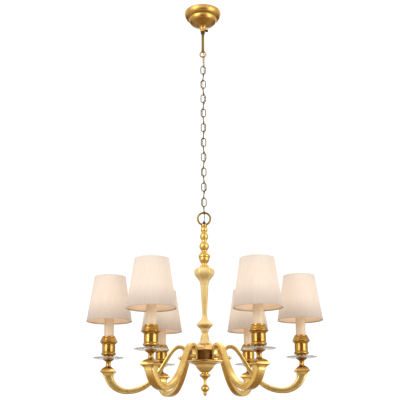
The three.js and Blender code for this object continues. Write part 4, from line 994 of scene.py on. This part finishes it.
# ---- lamp holders ----
# White moulded lamp holders on brass nipples, hidden in the candle sleeves and threaded for the bulb's cap.
def moulded_urea():
    """White urea moulding: slightly warm, with a soft sheen and fine flow marks."""
    material, tree, shader = start_material("white_moulded_urea", "#e9e5dc", 0.0, 0.36)
    place = add_node(tree, "ShaderNodeTexCoord")
    flow = add_node(tree, "ShaderNodeTexNoise",
                    {"Vector": place.outputs["Object"], "Scale": 1 / (6 * MM), "Distortion": 0.7})
    tint = add_node(tree, "ShaderNodeMix", {0: flow.outputs["Fac"], 6: linear("#efebe2"),
        7: linear("#ddd8cc")}, data_type="RGBA")
    gloss = add_node(tree, "ShaderNodeMapRange", {"Value": flow.outputs["Fac"], "To Min": 0.28,
        "To Max": 0.46})
    feed(shader, {"Base Color": tint.outputs[2], "Roughness": gloss.outputs[0]})
    return material


white_urea = moulded_urea()
holder_outline = lathe_outline(
    (0, 26.8), (5, 26.8), (5, 102), [(7, 104.4), (10.4, 107.2), (12.2, 109.6)], (12.4, 110.4),
    (12.4, 143), (11.8, 143.8), (8.8, 143.8), (8.4, 143.2), (8.4, 113.8), (0, 113.8))
holders = at_each_arm("lamp_holders", holder_outline, 40, white_urea)
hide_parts(*[f"lamp_holder_{n}" for n in range(1, ARM_COUNT + 1)])


# ---- bulbs ----
# Candle bulbs of opal glass on nickel screw caps. Each is its own body, because it screws out of its holder.
# The glass glows faintly, and its foot is cemented into the cap.
def opal_glass():
    """Opal bulb glass: milky, glossy, brightest round the belly where the filament is."""
    material, tree, shader = start_material("opal_bulb_glass", "#fff4e2", 0.0, 0.12)
    place = add_node(tree, "ShaderNodeTexCoord")
    height = add_node(tree, "ShaderNodeSeparateXYZ", {"Vector": place.outputs["Object"]})
    lit = add_node(tree, "ShaderNodeMapRange", {"Value": height.outputs["Z"], "From Min": -0.962,
        "From Max": -0.93, "To Min": 0.1, "To Max": 0.35}, interpolation_type="SMOOTHSTEP")
    feed(shader, {"Subsurface Weight": 0.3, "Subsurface Radius": (0.004, 0.003, 0.002),
        "Emission Color": linear("#ffe4c2"), "Emission Strength": lit.outputs[0]})
    return material


def nickel_cap():
    """Nickel-plated screw cap: bright, scuffed along the thread's crests."""
    material, tree, shader = start_material("nickel_plated_cap", "#c3beb4", 1.0, 0.3)
    place = add_node(tree, "ShaderNodeTexCoord")
    scuff = add_node(tree, "ShaderNodeTexNoise", {"Vector": place.outputs["Object"], "Scale": 1 / (3 * MM)})
    tint = add_node(tree, "ShaderNodeMix", {0: scuff.outputs["Fac"], 6: linear("#cfcac0"),
        7: linear("#a9a292")}, data_type="RGBA")
    gloss = add_node(tree, "ShaderNodeMapRange", {"Value": scuff.outputs["Fac"], "To Min": 0.2,
        "To Max": 0.42})
    feed(shader, {"Base Color": tint.outputs[2], "Roughness": gloss.outputs[0]})
    return material


opal, nickel = opal_glass(), nickel_cap()
BULB_FOOT = 145.8
glass_outline = lathe_outline(
    (0, -2), (7.4, -1), [(9, 0.6), (11.6, 6), (14.4, 13), (16.6, 21), (17.5, 29), (17.4, 35), (16.5, 42),
    (14.4, 50), (11.4, 58), (8, 65.4), (4.6, 71.6), (2, 76), (0, 78)])
THREAD_PITCH = 3.4
thread = [(0, -26), (3.2, -25.9), (4.4, -24.6), (6.2, -22)]
for turn in range(5):
    foot = -21 + turn * THREAD_PITCH
    thread += [(6.5, foot), (7.1, foot + 0.8), (7.3, foot + 1.5), (7.1, foot + 2.2), (6.5, foot + 3)]
thread += [(6.9, -2.6), (7.1, -1.2), (6.6, -0.6), (0, -0.6)]


def on_arm(number, shell):
    """Turns a shell made above the end of the first arm round to another arm."""
    bmesh.ops.rotate(shell, verts=shell.verts, cent=(0, 0, 0),
                     matrix=Matrix.Rotation((number - 1) * 2 * math.pi / ARM_COUNT, 3, "Z"))
    return shell


def bulb_shell(number, outline, sides):
    return on_arm(number, turned_shell(outline, round_section(sides), PAN_LEVEL + BULB_FOOT, ARM_REACH))


for number in range(1, ARM_COUNT + 1):
    glass = as_piece(f"bulb_glass_{number}", bulb_shell(number, glass_outline, 40), opal)
    screw_cap = as_piece(f"bulb_cap_{number}", bulb_shell(number, thread, 32), nickel)
    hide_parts(f"bulb_{number}")
    for piece in (glass, screw_cap):
        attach(piece, f"lamp_{number}")


# ---- shade carriers ----
# Plated wire: a hoop under the shade's top edge, three spokes, and a ring that rests on the bulb.
# A thinner hoop stiffens the bottom edge.
SHADE_FOOT, SHADE_TOP = 110.0, 244.0
FOOT_RADIUS, TOP_RADIUS = 67.0, 46.5
RING_LEVEL, CARRIER_RING = 189.2, 18.93
HOOP_LEVEL, HOOP_RADIUS = 241.8, 44.2
CARRIER_WIRE, HOOP_WIRE, WIRE_SIDES = 1.1, 0.9, 10


def wire_ring(shell, level, radius, wire):
    """A level ring of round wire about the axis of the first lamp."""
    hoop = []
    for around in angles_round(72):
        hoop.append([(ARM_REACH + (radius + wire * math.cos(a)) * math.cos(around),
            (radius + wire * math.cos(a)) * math.sin(around), PAN_LEVEL + level + wire * math.sin(a))
            for a in angles_round(WIRE_SIDES)])
    add_to(shell, skin(hoop, closed_on_itself=True))


def wire_rod(shell, points, wire):
    """A bent round wire through the points, closed at both ends."""
    bent = []
    for k, point in enumerate(points):
        along = (points[min(k + 1, len(points) - 1)] - points[max(k - 1, 0)]).normalized()
        side = along.cross(Vector((0, 0, 1))).normalized()
        other = along.cross(side)
        bent.append([point + (side * math.cos(a) + other * math.sin(a)) * wire
                     for a in angles_round(WIRE_SIDES)])
    add_to(shell, skin(bent, capped=True))


def shade_radius(level):
    return FOOT_RADIUS + (TOP_RADIUS - FOOT_RADIUS) * (level - SHADE_FOOT) / (SHADE_TOP - SHADE_FOOT)


carriers = {}
for number in range(1, ARM_COUNT + 1):
    carrier = bmesh.new()
    wire_ring(carrier, RING_LEVEL, CARRIER_RING, CARRIER_WIRE)
    wire_ring(carrier, HOOP_LEVEL, HOOP_RADIUS, CARRIER_WIRE)
    wire_ring(carrier, SHADE_FOOT + 1.5, shade_radius(SHADE_FOOT + 1.5) - 2.0, HOOP_WIRE)
    for i in range(3):
        angle = math.radians(60 + 120 * i)
        outward = Vector((math.cos(angle), math.sin(angle), 0))
        points = [Vector((ARM_REACH, 0, PAN_LEVEL)) + outward * reach + Vector((0, 0, level))
                  for reach, level in ((CARRIER_RING, RING_LEVEL), (CARRIER_RING + 1.4, RING_LEVEL + 3.2),
                                       (23.4, 197.4), (32, 215.6), (40.4, 233.4), (42.8, 239),
                                       (HOOP_RADIUS, HOOP_LEVEL))]
        wire_rod(carrier, points, CARRIER_WIRE)
    carriers[number] = as_piece(f"shade_carrier_{number}", on_arm(number, carrier), plated, 60)
    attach(carriers[number], f"clip_shade_{number}")


# ---- fabric shades ----
# Off-white slub linen glued to a thin stiff lining and rolled into a tapered drum, with its slubs running up.
# A narrow tape binds the top and the bottom edge. Cloth, lining and tape have a painted glow at the bulb's
# height.
CLOTH, CLOTH_INSET = 0.7, 0.3
TAPE_WIDTH, TAPE_DEPTH, TAPE_PROUD, TAPE_ROUND = 3.2, 1.28, 0.02, 0.25
CUT_RADIUS = 57  # the drum's mean radius, at which the cloth's map is laid flat
CLOTH_FOOT, CLOTH_TOP = SHADE_FOOT + 0.4, SHADE_TOP - 0.4


def slub_linen(name, bright, dim, painted_bottom_shade, glow, relief_depth):
    """Off-white slub linen. Threads of some 0.4 mm are drawn about 1.2 mm wide, so that they show.

    The cloth has a painted glow that makes it warm and light at the bulb's height, where the bulb's light
    would come through, and painted shade that makes it greyer towards the bottom edge.
    """
    material, tree, shader = start_material(name, bright, 0.0, 0.86)
    cut = add_node(tree, "ShaderNodeUVMap", uv_map="cloth")
    upright = add_node(tree, "ShaderNodeMapping", {"Vector": cut.outputs[0], "Scale": (1, 0.035, 1)})
    slubs = add_node(tree, "ShaderNodeTexNoise", {"Vector": upright.outputs[0], "Scale": 1 / (1.3 * MM),
                                                  "Detail": 4.0, "Roughness": 0.6})
    level = add_node(tree, "ShaderNodeMapping", {"Vector": cut.outputs[0], "Scale": (0.12, 1, 1)})
    weft = add_node(tree, "ShaderNodeTexNoise", {"Vector": level.outputs[0], "Scale": 1 / (1.6 * MM),
                                                 "Detail": 3.0})
    thread = add_node(tree, "ShaderNodeMix", {0: 0.3, 2: slubs.outputs["Fac"], 3: weft.outputs["Fac"]})
    tone = add_node(tree, "ShaderNodeMapRange", {"Value": thread.outputs[0], "From Min": 0.36,
        "From Max": 0.64})
    cloth = add_node(tree, "ShaderNodeMix", {0: tone.outputs[0], 6: linear(dim), 7: linear(bright)},
                     data_type="RGBA")
    reach = add_node(tree, "ShaderNodeSeparateXYZ", {"Vector": cut.outputs[0]})
    # Painted shade: the cloth is multiplied towards a greyer colour near its bottom edge.
    low = add_node(tree, "ShaderNodeMapRange", {"Value": reach.outputs["Y"], "From Min": 0.0,
        "From Max": 0.062, "To Min": 1.0, "To Max": 0.0}, interpolation_type="SMOOTHSTEP")
    cloth = add_node(tree, "ShaderNodeMix", {0: low.outputs[0], 6: cloth.outputs[2], 7: linear(painted_bottom_shade)},
                     data_type="RGBA", blend_type="MULTIPLY")
    # Painted glow: the cloth emits warm light in a band at the bulb's height, in place of light passing
    # through it.
    rise = add_node(tree, "ShaderNodeMapRange", {"Value": reach.outputs["Y"], "From Min": -0.01,
        "From Max": 0.07, "To Max": glow}, interpolation_type="SMOOTHSTEP")
    fade = add_node(tree, "ShaderNodeMapRange", {"Value": reach.outputs["Y"], "From Min": 0.14,
        "From Max": 0.092, "To Min": 0.55}, interpolation_type="SMOOTHSTEP")
    lit = add_node(tree, "ShaderNodeMath", {0: rise.outputs[0], 1: fade.outputs[0]}, operation="MULTIPLY")
    relief = add_node(tree, "ShaderNodeBump", {"Height": thread.outputs[0], "Strength": relief_depth,
                                               "Distance": 0.4 * MM})
    feed(shader, {"Sheen Weight": 0.25, "Sheen Roughness": 0.5, "Base Color": cloth.outputs[2],
        "Emission Strength": lit.outputs[0], "Emission Color": linear("#ffca94"),
        "Normal": relief.outputs[0]})
    return material


def conical_band(levels, sides=96):
    """A closed band round the drum from [radius, level] points, with a map laid flat in metres."""
    shell = bmesh.new()
    cloth = shell.loops.layers.uv.new("cloth")
    rings = []
    for radius, level in levels:
        rings.append([shell.verts.new(Vector((ARM_REACH + radius * math.cos(a), radius * math.sin(a),
                                              PAN_LEVEL + level)) * MM)
                      for a in angles_round(sides)])
    ends = [*rings[1:], rings[0]]
    for k, (low, high) in enumerate(zip(rings, ends)):
        next_level = levels[(k + 1) % len(levels)][1]
        for i in range(sides):
            j = (i + 1) % sides
            face = shell.faces.new((low[i], low[j], high[j], high[i]))
            heights = (levels[k][1], levels[k][1], next_level, next_level)
            for corner, (around, level) in zip(face.loops, zip((i, i + 1, i + 1, i), heights)):
                corner[cloth].uv = (around / sides * 2 * math.pi * CUT_RADIUS * MM, (level - SHADE_FOOT) * MM)
    bmesh.ops.recalc_face_normals(shell, faces=shell.faces)
    return shell


# All three have a painted warm glow at the bulb's height and painted shade towards the bottom edge; the
# lining glows most.
linen = slub_linen("slub_linen_shade_cloth", "#e8dcd0", "#dbcec2", "#ebe3de", 0.18, 0.45)
lining = slub_linen("styrene_shade_lining", "#fff8f0", "#fdf3e8", "#fdf2e6", 0.3, 0.1)
tape = slub_linen("cotton_binding_tape", "#ebe2d8", "#dcd2c6", "#e2d8ce", 0.12, 0.6)

STEPS = 18
cloth_levels = [CLOTH_FOOT + (CLOTH_TOP - CLOTH_FOOT) * k / STEPS for k in range(STEPS + 1)]
wall = [(shade_radius(level) - CLOTH_INSET, level) for level in cloth_levels]
inside = [(radius - CLOTH, level) for radius, level in reversed(wall)]


for number in range(1, ARM_COUNT + 1):
    shell = conical_band([*wall, *inside])
    cloth = as_piece(f"shade_cloth_{number}", on_arm(number, shell), linen, 60)
    cloth.data.materials.append(lining)
    axis = Matrix.Rotation((number - 1) * 2 * math.pi / ARM_COUNT, 3, "Z") @ Vector((ARM_REACH * MM, 0, 0))
    for face in cloth.data.polygons:
        outward = face.center - axis
        face.material_index = 1 if face.normal.x * outward.x + face.normal.y * outward.y < 0 else 0
    for edge, foot, top in (("bottom", SHADE_FOOT, SHADE_FOOT + TAPE_WIDTH),
                            ("top", SHADE_TOP - TAPE_WIDTH, SHADE_TOP)):
        at_foot, at_top = shade_radius(foot), shade_radius(top)
        outer = [(at_foot - CLOTH_INSET, foot), (at_foot - TAPE_PROUD, foot + TAPE_ROUND),
                 (at_top - TAPE_PROUD, top - TAPE_ROUND), (at_top - CLOTH_INSET, top)]
        inner = [(at_top - 1.1, top), (at_top - TAPE_DEPTH, top - TAPE_ROUND),
                 (at_foot - TAPE_DEPTH, foot + TAPE_ROUND), (at_foot - 1.1, foot)]
        band_shell = on_arm(number, conical_band([*outer, *inner]))
        band = as_piece(f"shade_binding_{edge}_{number}", band_shell, tape, 60)
        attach(band, f"clip_shade_{number}")
    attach(cloth, f"clip_shade_{number}")
    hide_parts(f"shade_{number}")
